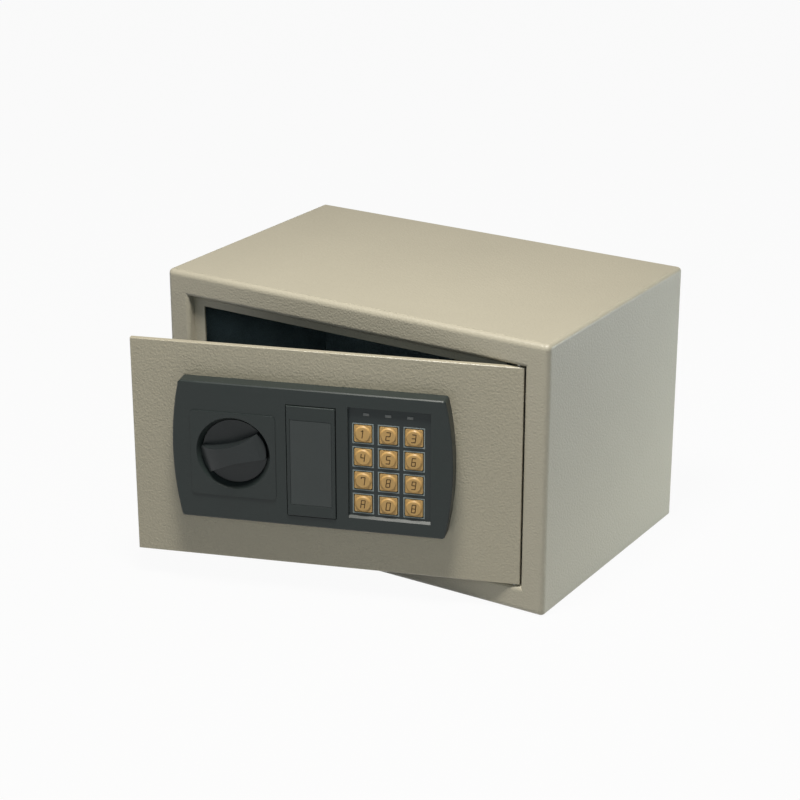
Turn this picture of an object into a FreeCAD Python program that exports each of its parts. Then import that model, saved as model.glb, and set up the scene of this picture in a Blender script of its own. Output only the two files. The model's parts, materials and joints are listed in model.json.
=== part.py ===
import FreeCAD, Part
import math
import os
import re

import Sketcher
from FreeCAD import Placement, Rotation, Vector

# An in-room safe: a folded steel cabinet with a plate door hung on two concealed pins.
# The door carries a moulded keypad housing with a turning knob outside, and the bolt work,
# lock, solenoid, boards and battery box under a pressed cover inside.
#
# Frame: +Z up, front of the cabinet towards -Y, origin at the centre of its footprint.
# Cabinet pieces are drawn from the cabinet's front left bottom corner: x right, y back, z up.
# Door pieces are drawn from the middle of the door's front: x right, y inwards, z up,
# so what stands out in front of the door has a negative y.

doc = FreeCAD.newDocument("InRoomSafe")

SIZES = {
    # cabinet
    "body_width": 312,
    "body_height": 196,
    "body_depth": 200,
    "wall": 1.5,
    "front_bend": 4,
    "side_bend": 3,
    "frame_margin": 18,
    "jamb_depth": 7,
    "jamb_bend": 3,
    "lip_width": 9,
    "lip_rise": 7.5,
    "lip_stop": 18,
    "weld_gap": 0.1,
    "overcut": 1,
    "anchor_radius": 5,
    "base_anchor_spacing": 180,
    "back_anchor_spacing": 180,
    "back_anchor_height": 112,
    "felt": 1,
    "mat": 2,
    "lining_front": 14,
    "felt_gap": 0.1,
    "felt_hole_margin": 1.5,
    "hinge_plate": 3,
    "hinge_plate_length": 26,
    "hinge_plate_reach": 12,
    # door
    "door_thickness": 4,
    "door_gap": 1.25,
    "hinge_gap": 2.15,
    "door_angle": 19.3,
    "door_edge": 0.4,
    "hinge_inset": 4,
    "hinge_setback": 4.2,
    "pin_radius": 2,
    "pin_clearance": 0.05,
    "pin_grip": 17,
    "pin_end_gap": 0.5,
    "press_gap": 0.02,
    "block_width": 9,
    "block_depth": 6,
    "block_height": 20,
    # keypad housing
    "bezel_centre": -6.55,
    "bezel_middle": 5.25,
    "bezel_width": 185,
    "bezel_tall": 100,
    "bezel_bulge": 5.5,
    "bezel_rise": 11.5,
    "bezel_corner": 2.5,
    "bezel_edge": 0.8,
    "screw_radius": 1.5,
    "screw_head": 3,
    "screw_head_rise": 2,
    "screw_gap": 0.1,
    "screw_depth": 6,
    "bezel_screw_margin": 5.5,
    # knob
    "knob_across": -61.3,
    "knob_up": 4.95,
    "pad_width": 60,
    "pad_tall": 61.2,
    "pad_bottom": -26.75,
    "pad_rise": 0.7,
    "pad_corner": 3,
    "rim_radius": 26.1,
    "well_gap": 0.4,
    "knob_radius": 22.9,
    "knob_face": 7.2,
    "disc_thickness": 3,
    "knob_lift": 0.5,
    "grip_turn": 17.5,
    "grip_end_width": 19.4,
    "grip_waist": 12.6,
    "grip_top": 17,
    "grip_crease": 12.7,
    "grip_crease_out": 18,
    "grip_slope": 3,
    "hub_radius": 7,
    "hub_gap": 0.4,
    "bush_radius": 6,
    "bush_flange": 8.5,
    "bush_flange_rise": 1.2,
    "seat_gap": 0.3,
    "spindle_radius": 4,
    "spindle_in_knob": 3.5,
    "spindle_tail": 3,
    "arm_gap": 0.6,
    "arm_thickness": 3,
    "arm_radius": 7,
    "crank_screw_radius": 5,
    "crank_radius": 11.3,
    "crank_half_turn": 40,
    "crank_pin": 2.5,
    "crank_slack": 0.45,
    # bolt work
    "carriage_depth": 10.2,
    "plate_gauge": 2,
    "web_left": -86.3,
    "web_width": 30,
    "web_half_tall": 44,
    "tongue_reach": 28,
    "tongue_below": 8,
    "tongue_above": 26.3,
    "flange_depth": 11.3,
    "bolt_radius": 6,
    "bolt_depth": 17,
    "bolt_half_pitch": 33,
    "bolt_tip_inset": 9.3,
    "bolt_travel": 14.5,
    "bolt_chamfer": 1,
    "spigot_radius": 4,
    "spigot_tail": 1.5,
    "bolt_clearance": 0.06,
    "guide_inset": 9.6,
    "guide_gauge": 3,
    "guide_depth": 21.5,
    "guide_foot_spare": 2.925,
    "stud_radius": 3,
    "stud_collar": 5,
    "stud_across": -76.3,
    "stud_head": 1.6,
    "stud_slack": 0.2,
    "slot_clearance": 0.08,
    # solenoid
    "solenoid_across": -36.3,
    "solenoid_width": 24,
    "solenoid_tall": 20,
    "solenoid_lift": 8.5,
    "solenoid_bracket": 0.8,
    "solenoid_bracket_margin": 3,
    "plunger_radius": 3,
    "plunger_gap": 0.1,
    "plunger_length": 22,
    "plunger_stroke": 3.5,
    "collar_radius": 4.6,
    "collar_lift": 1.7,
    "collar_height": 1.2,
    "spring_wire": 0.3,
    "spring_radius": 3.9,
    "spring_turns": 3,
    "spring_steps": 12,
    "spring_end_gap": 0.05,
    # override lock
    "lock_across": -6.4,
    "lock_up": 5.25,
    "lock_radius": 8,
    "lock_front": 6,
    "lock_back": 18,
    "lock_head": 10,
    "lock_head_rise": 1.5,
    "lock_hole_gap": 0.1,
    "nut_across": 22,
    "nut_height": 4,
    "plug_radius": 5.5,
    "plug_clearance": 0.06,
    "plug_tail_radius": 3,
    "keyway_width": 2,
    "keyway_height": 8.5,
    "keyway_depth": 14,
    "cam_gap": 0.3,
    "cam_thickness": 2,
    "cam_radius": 6,
    "cam_reach": 13,
    "lock_well_radius": 12,
    # override cover
    "cover_width": 34,
    "cover_tall": 80.3,
    "cover_up": 3.25,
    "cover_gap": 0.5,
    "cover_rise": 1,
    "cover_thickness": 3.5,
    "cover_corner": 0.8,
    "label_width": 29.1,
    "label_tall": 62.1,
    "label_up": 2.5,
    "label_depth": 0.4,
    "peg_radius": 2.5,
    "peg_length": 5,
    "peg_gap": 0.3,
    "peg_half_pitch": 31,
    # keypad
    "keypad_across": 47.8,
    "keypad_width": 57,
    "keypad_bottom": -32.95,
    "keypad_top": 45.55,
    "keypad_depth": 2.2,
    "keypad_ledge": 2.8,
    "keypad_ledge_rise": 2.1,
    "panel_margin": 2,
    "panel_gap": 0.2,
    "panel_thickness": 1.6,
    "key_across": 46.9,
    "key_up": 1.05,
    "key_pitch_across": 17.6,
    "key_pitch_up": 17.05,
    "key_side": 12.1,
    "key_gap": 0.5,
    "key_corner": 1,
    "key_rise": 0.4,
    "key_dome_radius": 5.7,
    "key_dome_rise": 1,
    "key_dome_edge": 0.9,
    "key_flange": 0.9,
    "key_flange_margin": 0.95,
    "key_travel": 0.5,
    "switch_gap": 0.1,
    "board_thickness": 1.6,
    "keypad_board_back": 1.5,
    "switch_side": 6,
    "post_radius": 1.6,
    "lens_width": 4.2,
    "lens_height": 2,
    "lens_up": 40.55,
    "lens_pitch": 15.1,
    "lens_across": 46.7,
    "lens_proud": 0.15,
    "ribbon_width": 14,
    "ribbon_thickness": 1,
    "ribbon_up": 37.25,
    "ribbon_gap": 1,
    # inner cover
    "case_left_margin": 14.5,
    "case_right_margin": 20.6,
    "case_bottom_margin": 9,
    "case_lift": 0.3,
    "case_depth": 40,
    "case_gauge": 1.5,
    "case_corner": 3,
    "bolt_hole_gap": 0.75,
    "post_inset": 9,
    "post_right_inset": 6,
    "stand_radius": 3,
    # boards and batteries
    "control_right_margin": 14,
    "control_top_gap": 2,
    "control_width": 90,
    "control_tall": 46,
    "control_depth": 28,
    "control_post_inset": 6,
    "control_post_radius": 2.5,
    "chip_width": 12,
    "chip_tall": 8,
    "chip_rise": 1.8,
    "relay_width": 10,
    "relay_tall": 8,
    "relay_rise": 6.5,
    "relay_gap": 6,
    "reset_radius": 3,
    "reset_clearance": 0.06,
    "reset_flange_radius": 4.2,
    "reset_flange": 1.7,
    "reset_proud": 2,
    "reset_travel": 1.5,
    "reset_inset": 13,
    "reset_bevel": 0.5,
    "cell_radius": 7.1,
    "cell_length": 50,
    "cell_pitch": 14.6,
    "cell_tip_radius": 2.7,
    "cell_tip": 1,
    "cell_end_gap": 3.3,
    "cell_seat": 0.1,
    "tray_wall": 1.2,
    "tray_right_margin": 11,
    "tray_lift": 9,
    "tray_side_gap": 0.4,
    "tray_depth": 17.5,
    "battery_seat": 0.5,
    "scoop_width": 16,
    "scoop_tall": 5,
    "scoop_up": 5,
    "scoop_depth": 0.75,
}

sheet = doc.addObject("Spreadsheet::Sheet", "dim")
for row, (alias, number) in enumerate(SIZES.items(), start=1):
    sheet.set(f"A{row}", alias)
    sheet.set(f"B{row}", str(number))
    sheet.setAlias(f"B{row}", alias)
doc.recompute()

# Lengths that several pieces share, each worked out from the sheet.
OPENING_WIDTH = "(body_width - 2*frame_margin)"
OPENING_HEIGHT = "(body_height - 2*frame_margin)"
DOOR_SIDE = "((body_width - 2*frame_margin - door_gap - hinge_gap)/2)"
DOOR_TOP = "((body_height - 2*frame_margin - 2*door_gap)/2)"
HINGE_X = "(body_width - frame_margin - hinge_gap - hinge_inset)"
DOOR_BOTTOM = "(frame_margin + door_gap)"
BEZEL_LEFT = "(bezel_centre - bezel_width/2)"
BEZEL_BOTTOM = "(bezel_middle - bezel_tall/2)"
CAP_RADIUS = "((bezel_tall^2/4 + bezel_bulge^2)/(2*bezel_bulge))"
WELL_RADIUS = "(knob_radius + well_gap)"
DISC_BACK = "(knob_face - disc_thickness)"
WELL_FLOOR = "(knob_face - disc_thickness - knob_lift)"
ARM_FRONT = "(door_thickness + arm_gap)"
ARM_BACK = "(door_thickness + arm_gap + arm_thickness)"
CARRIAGE_BACK = "(carriage_depth + plate_gauge)"
TONGUE_TOP = "(knob_up + tongue_above)"
SOLENOID_UP = "(knob_up + tongue_above + solenoid_lift)"
BOLT_TIP = f"(bolt_tip_inset - {DOOR_SIDE})"
GUIDE_OUT = f"(guide_inset - {DOOR_SIDE})"
GUIDE_FOOT = f"(({BEZEL_LEFT} + bezel_screw_margin - screw_head - {GUIDE_OUT})/2 + guide_foot_spare)"
PANEL_FRONT = "(bezel_rise - keypad_depth)"
PANEL_BACK = "(bezel_rise - keypad_depth - panel_thickness)"
KEY_FLANGE_BACK = "(bezel_rise - keypad_depth - panel_thickness - seat_gap - key_flange)"
SWITCH_TOP = (
    "(bezel_rise - keypad_depth - panel_thickness - seat_gap - key_flange"
    " - key_travel - switch_gap)"
)
BOARD_FRONT = "(keypad_board_back + board_thickness)"
CASE_LEFT = f"(case_left_margin - {DOOR_SIDE})"
CASE_RIGHT = f"({DOOR_SIDE} - case_right_margin)"
CASE_BOTTOM = f"(case_bottom_margin - {DOOR_TOP})"
CASE_TOP = f"({SOLENOID_UP} + solenoid_tall + solenoid_bracket_margin/2 + case_gauge)"
CASE_INSIDE = "(case_depth - case_gauge)"
TRAY_WIDTH = "(cell_length + 2*cell_end_gap + 2*tray_wall + cell_tip)"
TRAY_TALL = "(4*cell_pitch + 2*tray_side_gap + 2*tray_wall)"
TRAY_BACK = "(case_depth - case_gauge - tray_depth)"
TRAY_LEFT = f"({CASE_RIGHT} - tray_right_margin - {TRAY_WIDTH})"
TRAY_BOTTOM = f"({CASE_BOTTOM} + tray_lift)"
CONTROL_LEFT = f"({CASE_RIGHT} - control_right_margin - control_width)"
CONTROL_BOTTOM = f"({CASE_TOP} - case_gauge - control_top_gap - control_tall)"

parts = {}


def on_sheet(text):
    """An expression on the sheet's names, written as FreeCAD reads it."""
    def full_name(found):
        return "dim." + found.group() if found.group() in SIZES else found.group()

    return re.sub(r"[a-z][a-z_]*", full_name, text)


def size(text):
    """The value of an expression on the sheet's names, in millimetres or degrees."""
    value = sheet.evalExpression(on_sheet(text))
    return float(getattr(value, "Value", value))


def bind(item, prop, text):
    item.setExpression(prop, on_sheet(text))


def cabinet_frame():
    return Placement(Vector(-size("body_width")/2, -size("body_depth")/2, 0), Rotation())


def door_frame():
    """The middle of the door's front, turned about the hinge pins to where the door stands ajar."""
    turn = Rotation(Vector(0, 0, 1), size("door_angle"))
    hinge = Vector(size(HINGE_X), size("hinge_setback"), size(DOOR_BOTTOM))
    middle = Vector(size("hinge_inset") - size(DOOR_SIDE), -size("hinge_setback"), size(DOOR_TOP))
    return cabinet_frame() * Placement(hinge + turn.multVec(middle), turn)


def on_knob_axis(turn):
    """A frame on the knob's axis, turned anticlockwise as seen from in front of the door."""
    axis = Vector(size("knob_across"), 0, size("knob_up"))
    return door_frame() * Placement(axis, Rotation(Vector(0, -1, 0), turn))


def finish(item, label, frame):
    """Names a finished piece and puts it in its place."""
    item.Label = label
    item.Placement = frame
    parts[label] = item
    return item


# PartDesign bodies


def new_body(label):
    body = doc.addObject("PartDesign::Body", "Body_" + label)
    body.Label = label
    return body


def new_sketch(body, role, x="0", y="0", z="0"):
    """A sketch on one of the body's own origin planes, moved by x, y and z in the plane's axes."""
    sketch = body.newObject("Sketcher::SketchObject", "Sketch")
    plane = next(feature for feature in body.Origin.OriginFeatures if feature.Role == role)
    sketch.AttachmentSupport = (plane, "")
    sketch.MapMode = "FlatFace"
    for axis, text in zip("xyz", (x, y, z)):
        bind(sketch, f"AttachmentOffset.Base.{axis}", text)
    return sketch


def constrain(sketch, kind, places, text):
    number = sketch.addConstraint(Sketcher.Constraint(kind, *places, size(text)))
    bind(sketch, f"Constraints[{number}]", text)


def pin_point(sketch, item, point, x, y):
    constrain(sketch, "DistanceX", (-1, 1, item, point), x)
    constrain(sketch, "DistanceY", (-1, 1, item, point), y)


def line(sketch, start, end):
    """A straight edge between two points, each an (x, y) pair of expressions."""
    here, there = (Vector(size(x), size(y), 0) for x, y in (start, end))
    number = sketch.addGeometry(Part.LineSegment(here, there))
    pin_point(sketch, number, 1, *start)
    pin_point(sketch, number, 2, *end)


def arc(sketch, start, middle, end, radius):
    """A round edge, anticlockwise from start through middle to end."""
    points = [Vector(size(x), size(y), 0) for x, y in (start, middle, end)]
    number = sketch.addGeometry(Part.Arc(*points))
    pin_point(sketch, number, 1, *start)
    pin_point(sketch, number, 2, *end)
    constrain(sketch, "Radius", (number,), radius)


def outline(sketch, points):
    """A closed run of straight edges through the points."""
    for start, end in zip(points, points[1:] + points[:1]):
        line(sketch, start, end)


def in_brackets(*texts):
    return [f"({text})" for text in texts]


def rectangle(sketch, left, bottom, width, height):
    left, bottom, width, height = in_brackets(left, bottom, width, height)
    right = f"{left} + {width}"
    top = f"{bottom} + {height}"
    outline(sketch, [(left, bottom), (right, bottom), (right, top), (left, top)])


def soft_rectangle(sketch, left, bottom, width, height, corner):
    """A rectangle with round corners."""
    left, bottom, width, height, corner = in_brackets(left, bottom, width, height, corner)
    right, top = f"{left} + {width}", f"{bottom} + {height}"
    in_left, in_right = f"{left} + {corner}", f"{right} - {corner}"
    in_bottom, in_top = f"{bottom} + {corner}", f"{top} - {corner}"
    near_by = f"{corner}*(1 - sqrt(0.5))"
    line(sketch, (in_left, bottom), (in_right, bottom))
    arc(sketch, (in_right, bottom), (f"{right} - {near_by}", f"{bottom} + {near_by}"),
        (right, in_bottom), corner)
    line(sketch, (right, in_bottom), (right, in_top))
    arc(sketch, (right, in_top), (f"{right} - {near_by}", f"{top} - {near_by}"), (in_right, top), corner)
    line(sketch, (in_right, top), (in_left, top))
    arc(sketch, (in_left, top), (f"{left} + {near_by}", f"{top} - {near_by}"), (left, in_top), corner)
    line(sketch, (left, in_top), (left, in_bottom))
    arc(sketch, (left, in_bottom), (f"{left} + {near_by}", f"{bottom} + {near_by}"),
        (in_left, bottom), corner)


def circle(sketch, x, y, radius):
    centre = Vector(size(x), size(y), 0)
    number = sketch.addGeometry(Part.Circle(centre, Vector(0, 0, 1), size(radius)))
    constrain(sketch, "Radius", (number,), radius)
    pin_point(sketch, number, 3, x, y)


def half_circle(sketch, x, low, high, radius, bulge):
    """A half circle between (x, low) and (x, high), anticlockwise, bulging left or right."""
    middle = f"({low} + {high})/2"
    first, last = (high, low) if bulge == "left" else (low, high)
    out = f"{x} - {radius}" if bulge == "left" else f"{x} + {radius}"
    points = [Vector(size(at_x), size(at_y), 0) for at_x, at_y in ((x, first), (out, middle), (x, last))]
    number = sketch.addGeometry(Part.Arc(*points))
    pin_point(sketch, number, 3, x, middle)
    pin_point(sketch, number, 1, x, first)
    constrain(sketch, "DistanceX", (-1, 1, number, 2), x)


def long_slot(sketch, x, y, run, radius):
    """A slot with round ends, its first end's centre at x, y and its run along the sketch's x."""
    x, y, run, radius = in_brackets(x, y, run, radius)
    right, low, high = f"{x} + {run}", f"({y} - {radius})", f"({y} + {radius})"
    half_circle(sketch, x, low, high, radius, "left")
    line(sketch, (x, low), (right, low))
    half_circle(sketch, right, low, high, radius, "right")
    line(sketch, (right, high), (x, high))


def add_feature(body, kind, sketch, text, reverse):
    before = body.Shape.Volume if body.Tip else 0.0
    feature = body.newObject("PartDesign::" + kind, kind)
    feature.Profile = sketch
    bind(feature, "Length", text)
    feature.Reversed = reverse
    doc.recompute()
    grew = body.Shape.Volume - before
    if (kind == "Pad") != (grew > 0) or abs(grew) < 1e-6:
        raise ValueError(f"{body.Label}: {kind} on the wrong side")
    return feature


def pad(body, sketch, length, reverse=False):
    return add_feature(body, "Pad", sketch, length, reverse)


def pocket(body, sketch, length, reverse=False):
    return add_feature(body, "Pocket", sketch, length, reverse)


def turn_profile(body, sketch, axis, kind="Revolution"):
    feature = body.newObject("PartDesign::" + kind, kind)
    feature.Profile = sketch
    feature.ReferenceAxis = (sketch, [axis])
    feature.Angle = 360
    doc.recompute()
    return feature


def turned(label, frame, across, up, profile):
    """A piece turned about an axis square to the door, from a profile of radius and depth."""
    body = new_body(label)
    sketch = new_sketch(body, "XY_Plane", across, "0", up)
    outline(sketch, profile)
    turn_profile(body, sketch, "V_Axis")
    return finish(body, label, frame)


def edges_where(feature, test):
    """The names of a feature's edges whose end points, or middle where closed, all pass the test."""
    names = []
    for number, edge in enumerate(feature.Shape.Edges, start=1):
        points = [vertex.Point for vertex in edge.Vertexes]
        points.append(edge.valueAt((edge.FirstParameter + edge.LastParameter)/2))
        if all(test(point) for point in points):
            names.append(f"Edge{number}")
    return names


def dress(body, kind, prop, test, text):
    """A fillet or chamfer on the edges of the body's last feature that pass the test."""
    base = body.Tip
    names = edges_where(base, test)
    if not names:
        raise ValueError(f"{body.Label}: no edges to {kind}")
    feature = body.newObject("PartDesign::" + kind, kind)
    feature.Base = (base, names)
    bind(feature, prop, text)
    doc.recompute()
    return feature


def fillet(body, test, text):
    return dress(body, "Fillet", "Radius", test, text)


def chamfer(body, test, text):
    return dress(body, "Chamfer", "Size", test, text)


def near(value, text):
    return abs(value - size(text)) < 1e-4


# Part primitives


def place(item, x, y, z):
    for axis, text in zip("xyz", (x, y, z)):
        bind(item, f"Placement.Base.{axis}", text)


def box(x, y, z, length, width, height):
    item = doc.addObject("Part::Box", "Block")
    place(item, x, y, z)
    for prop, text in (("Length", length), ("Width", width), ("Height", height)):
        bind(item, prop, text)
    return item


AXES = {"x": Rotation(Vector(0, 1, 0), 90), "y": Rotation(Vector(1, 0, 0), -90), "z": Rotation()}


def rod(axis, x, y, z, radius, length):
    item = doc.addObject("Part::Cylinder", "Rod")
    item.Placement = Placement(Vector(), AXES[axis])
    place(item, x, y, z)
    bind(item, "Radius", radius)
    bind(item, "Height", length)
    return item


def hex_rod(x, y, z, radius, length):
    """A six-sided bar standing square to the door, as wide across its corners as a rod."""
    item = doc.addObject("Part::Prism", "HexRod")
    item.Placement = Placement(Vector(), AXES["y"])
    place(item, x, y, z)
    item.Polygon = 6
    bind(item, "Circumradius", radius)
    bind(item, "Height", length)
    return item


def joined(items, kind="MultiFuse"):
    item = doc.addObject("Part::" + kind, kind)
    if kind == "Compound":
        item.Links = items
    else:
        item.Shapes = items
    return item


def cut(base, tools):
    item = doc.addObject("Part::Cut", "Cut")
    item.Base = base
    item.Tool = tools[0] if len(tools) == 1 else joined(tools)
    return item


def grouped(items):
    """One piece, or like pieces that share a node, each a solid of its own."""
    return joined(items, "Compound")


# Cabinet


def is_long_corner(point):
    """Whether a point lies on one of the cabinet's four long corners."""
    on_side = near(point.x, "0") or near(point.x, "body_width")
    return on_side and (near(point.z, "0") or near(point.z, "body_height"))


def body_wrap():
    """One folded sheet: four walls, a frame turned in round the doorway, and its return."""
    body = new_body("body_wrap")
    profile = new_sketch(body, "XZ_Plane")
    rectangle(profile, "0", "0", "body_width", "body_height")
    pad(body, profile, "body_depth", reverse=True)
    fillet(body, is_long_corner, "side_bend")
    fillet(body, lambda p: near(p.y, "0"), "front_bend")
    cavity = new_sketch(body, "XZ_Plane", z="-body_depth")
    soft_rectangle(cavity, "wall", "wall", "body_width - 2*wall", "body_height - 2*wall", "side_bend - wall")
    pocket(body, cavity, "body_depth - wall", reverse=True)
    fillet(body, lambda p: near(p.y, "wall"), "front_bend - wall")
    doorway = new_sketch(body, "XZ_Plane")
    rectangle(doorway, "frame_margin", "frame_margin", OPENING_WIDTH, OPENING_HEIGHT)
    pocket(body, doorway, "wall")
    jamb = new_sketch(body, "XZ_Plane")
    rectangle(jamb, "frame_margin", "frame_margin", OPENING_WIDTH, OPENING_HEIGHT)
    rectangle(jamb, "frame_margin - wall", "frame_margin - wall",
              OPENING_WIDTH + " + 2*wall", OPENING_HEIGHT + " + 2*wall")
    pad(body, jamb, "jamb_depth", reverse=True)
    inside = (size("frame_margin - wall"), size("body_width - frame_margin + wall"))
    fillet(body, lambda p: near(p.y, "0") and inside[0] < p.x < inside[1]
           and size("frame_margin - wall") < p.z < size("body_height - frame_margin + wall"), "jamb_bend")
    for level in ("frame_margin", "body_height - frame_margin + wall"):
        pin_hole = new_sketch(body, "XY_Plane", z=level)
        circle(pin_hole, HINGE_X, "hinge_setback", "pin_radius + pin_clearance")
        pocket(body, pin_hole, "wall")
    anchors = new_sketch(body, "XY_Plane")
    for side in ("-", "+"):
        circle(anchors, f"body_width/2 {side} base_anchor_spacing/2", "body_depth/2", "anchor_radius")
    pocket(body, anchors, "wall", reverse=True)
    finish(body, "body_wrap", cabinet_frame())


def back_panel():
    """The back, a flat sheet welded inside the wrap's edges, with two holes for wall anchors."""
    body = new_body("back_panel")
    inset = "(wall + weld_gap)"
    profile = new_sketch(body, "XZ_Plane", z="-body_depth")
    rectangle(profile, inset, inset, f"body_width - 2*{inset}", f"body_height - 2*{inset}")
    for side in ("-", "+"):
        circle(profile, f"body_width/2 {side} back_anchor_spacing/2", "back_anchor_height", "anchor_radius")
    pad(body, profile, "wall")
    middle = size("body_width")/2
    edge = size("wall") + size("weld_gap") + 1e-3
    fillet(body, lambda p: (abs(p.x - middle) > middle - edge)
           and (p.z < edge or p.z > size("body_height") - edge), "side_bend - wall + weld_gap")
    finish(body, "back_panel", cabinet_frame())


def door_seat_frame():
    """The lip behind the jamb on three sides. It stops short of the hinges, where the door turns in."""
    left, low, high = "frame_margin - wall", "frame_margin - wall", "body_height - frame_margin + wall"
    right = "body_width - frame_margin - lip_stop"
    inner_left = "frame_margin + lip_width"
    inner_low, inner_high = "frame_margin + lip_rise", "body_height - frame_margin - lip_rise"
    body = new_body("door_seat_frame")
    profile = new_sketch(body, "XZ_Plane", z="-jamb_depth")
    outline(profile, [
        (left, low), (right, low), (right, inner_low), (inner_left, inner_low),
        (inner_left, inner_high), (right, inner_high), (right, high), (left, high),
    ])
    pad(body, profile, "wall", reverse=True)
    finish(body, "door_seat_frame", cabinet_frame())


def hinge_plates():
    """Two plates welded behind the frame above and below the doorway, bored for the hinge pins."""
    plates = []
    right = "body_width - frame_margin + wall"
    for level in ("body_height - frame_margin + wall", "frame_margin - wall - hinge_plate"):
        blank = box(f"{right} - hinge_plate_length", "wall", level,
                    "hinge_plate_length", "hinge_plate_reach", "hinge_plate")
        hole = rod("z", HINGE_X, "hinge_setback", f"{level} - overcut", "pin_radius + pin_clearance",
                   "hinge_plate + 2*overcut")
        plates.append(cut(blank, [hole]))
    finish(grouped(plates), "hinge_plates", cabinet_frame())


def felt_sheet(label, rectangle_on_plane, holes, role, offset, thickness, reverse):
    """A felt sheet glued inside the cabinet, punched at the anchors."""
    body = new_body(label)
    profile = new_sketch(body, role, z=offset)
    rectangle(profile, *rectangle_on_plane)
    for across, up in holes:
        circle(profile, across, up, "anchor_radius + felt_hole_margin")
    pad(body, profile, thickness, reverse)
    finish(body, label, cabinet_frame())


def linings():
    lining_back = "body_depth - wall - felt - felt_gap"
    felt_sheet("floor_mat",
               ("side_bend", "lining_front", "body_width - 2*side_bend", f"{lining_back} - lining_front"),
               [(f"body_width/2 {side} base_anchor_spacing/2", "body_depth/2") for side in "-+"],
               "XY_Plane", "wall", "mat", False)
    low = "wall + mat + felt_gap"
    side = "wall + felt + felt_gap"
    felt_sheet("lining_back",
               (side, low, f"body_width - 2*({side})", f"body_height - wall - felt - felt_gap - ({low})"),
               [(f"body_width/2 {side_} back_anchor_spacing/2", "back_anchor_height") for side_ in "-+"],
               "XZ_Plane", "wall + felt - body_depth", "felt", True)
    body = new_body("lining_wrap")
    bottom, top, inner_top = "side_bend + felt_gap", "body_height - wall", "body_height - wall - felt"
    right = "body_width - wall"
    profile = new_sketch(body, "XZ_Plane", z="-lining_front")
    outline(profile, [
        ("wall", bottom), ("wall + felt", bottom), ("wall + felt", inner_top),
        (f"{right} - felt", inner_top), (f"{right} - felt", bottom), (right, bottom), (right, top),
        ("wall", top),
    ])
    pad(body, profile, "body_depth - wall - lining_front", reverse=True)
    fillet(body, lambda p: near(p.z, top) and (near(p.x, "wall") or near(p.x, right)),
           "side_bend - wall + felt_gap")
    finish(body, "lining_wrap", cabinet_frame())


# Door and its hinges


def door_plate():
    body = new_body("door_plate")
    profile = new_sketch(body, "XZ_Plane")
    rectangle(profile, f"-{DOOR_SIDE}", f"-{DOOR_TOP}", f"2*{DOOR_SIDE}", f"2*{DOOR_TOP}")
    circle(profile, "knob_across", "knob_up", "bush_radius + screw_gap")
    circle(profile, "lock_across", "lock_up", "lock_radius + lock_hole_gap")
    rectangle(profile, "keypad_across - ribbon_width/2 - ribbon_gap",
              "ribbon_up - ribbon_thickness/2 - ribbon_gap",
              "ribbon_width + 2*ribbon_gap", "ribbon_thickness + 2*ribbon_gap")
    for across, up in bezel_screw_places():
        circle(profile, across, up, "screw_radius + screw_gap")
    pad(body, profile, "door_thickness", reverse=True)
    side, top = size(DOOR_SIDE), size(DOOR_TOP)
    chamfer(body, lambda p: near(p.y, "0") and (abs(p.x) > side - 1e-3 or abs(p.z) > top - 1e-3), "door_edge")
    for level, upward in ((f"-{DOOR_TOP}", True), (DOOR_TOP, False)):
        groove = new_sketch(body, "XY_Plane", z=level)
        circle(groove, DOOR_SIDE + " - hinge_inset", "hinge_setback", "pin_radius + press_gap")
        pocket(body, groove, "pin_grip", reverse=upward)
    finish(body, "door_plate", door_frame())


def bezel_screw_places():
    across = [BEZEL_LEFT + " + bezel_screw_margin", BEZEL_LEFT + " + bezel_width - bezel_screw_margin"]
    up = [BEZEL_BOTTOM + " + bezel_screw_margin", BEZEL_BOTTOM + " + bezel_tall - bezel_screw_margin"]
    return [(x, z) for x in across for z in up]


def hinges():
    """Steel blocks welded behind the door's two right corners, and a pin fixed in each."""
    pin_x = DOOR_SIDE + " - hinge_inset"
    blocks, pins = [], []
    reach = "(door_gap + wall + hinge_plate - pin_end_gap)"
    for block_low, bore_low, pin_low in (
        (f"-{DOOR_TOP}", f"-{DOOR_TOP} - overcut", f"-{DOOR_TOP} - {reach}"),
        (f"{DOOR_TOP} - block_height", f"{DOOR_TOP} - pin_grip", f"{DOOR_TOP} - pin_grip"),
    ):
        block = box(f"{DOOR_SIDE} - block_width", "door_thickness", block_low,
                    "block_width", "block_depth", "block_height")
        bore = rod("z", pin_x, "hinge_setback", bore_low, "pin_radius + press_gap", "pin_grip + overcut")
        blocks.append(cut(block, [bore]))
        pins.append(rod("z", pin_x, "hinge_setback", pin_low, "pin_radius", f"pin_grip + {reach}"))
    finish(grouped(blocks), "hinge_blocks", door_frame())
    finish(grouped(pins), "hinge_pins", door_frame())


# Keypad housing


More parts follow.
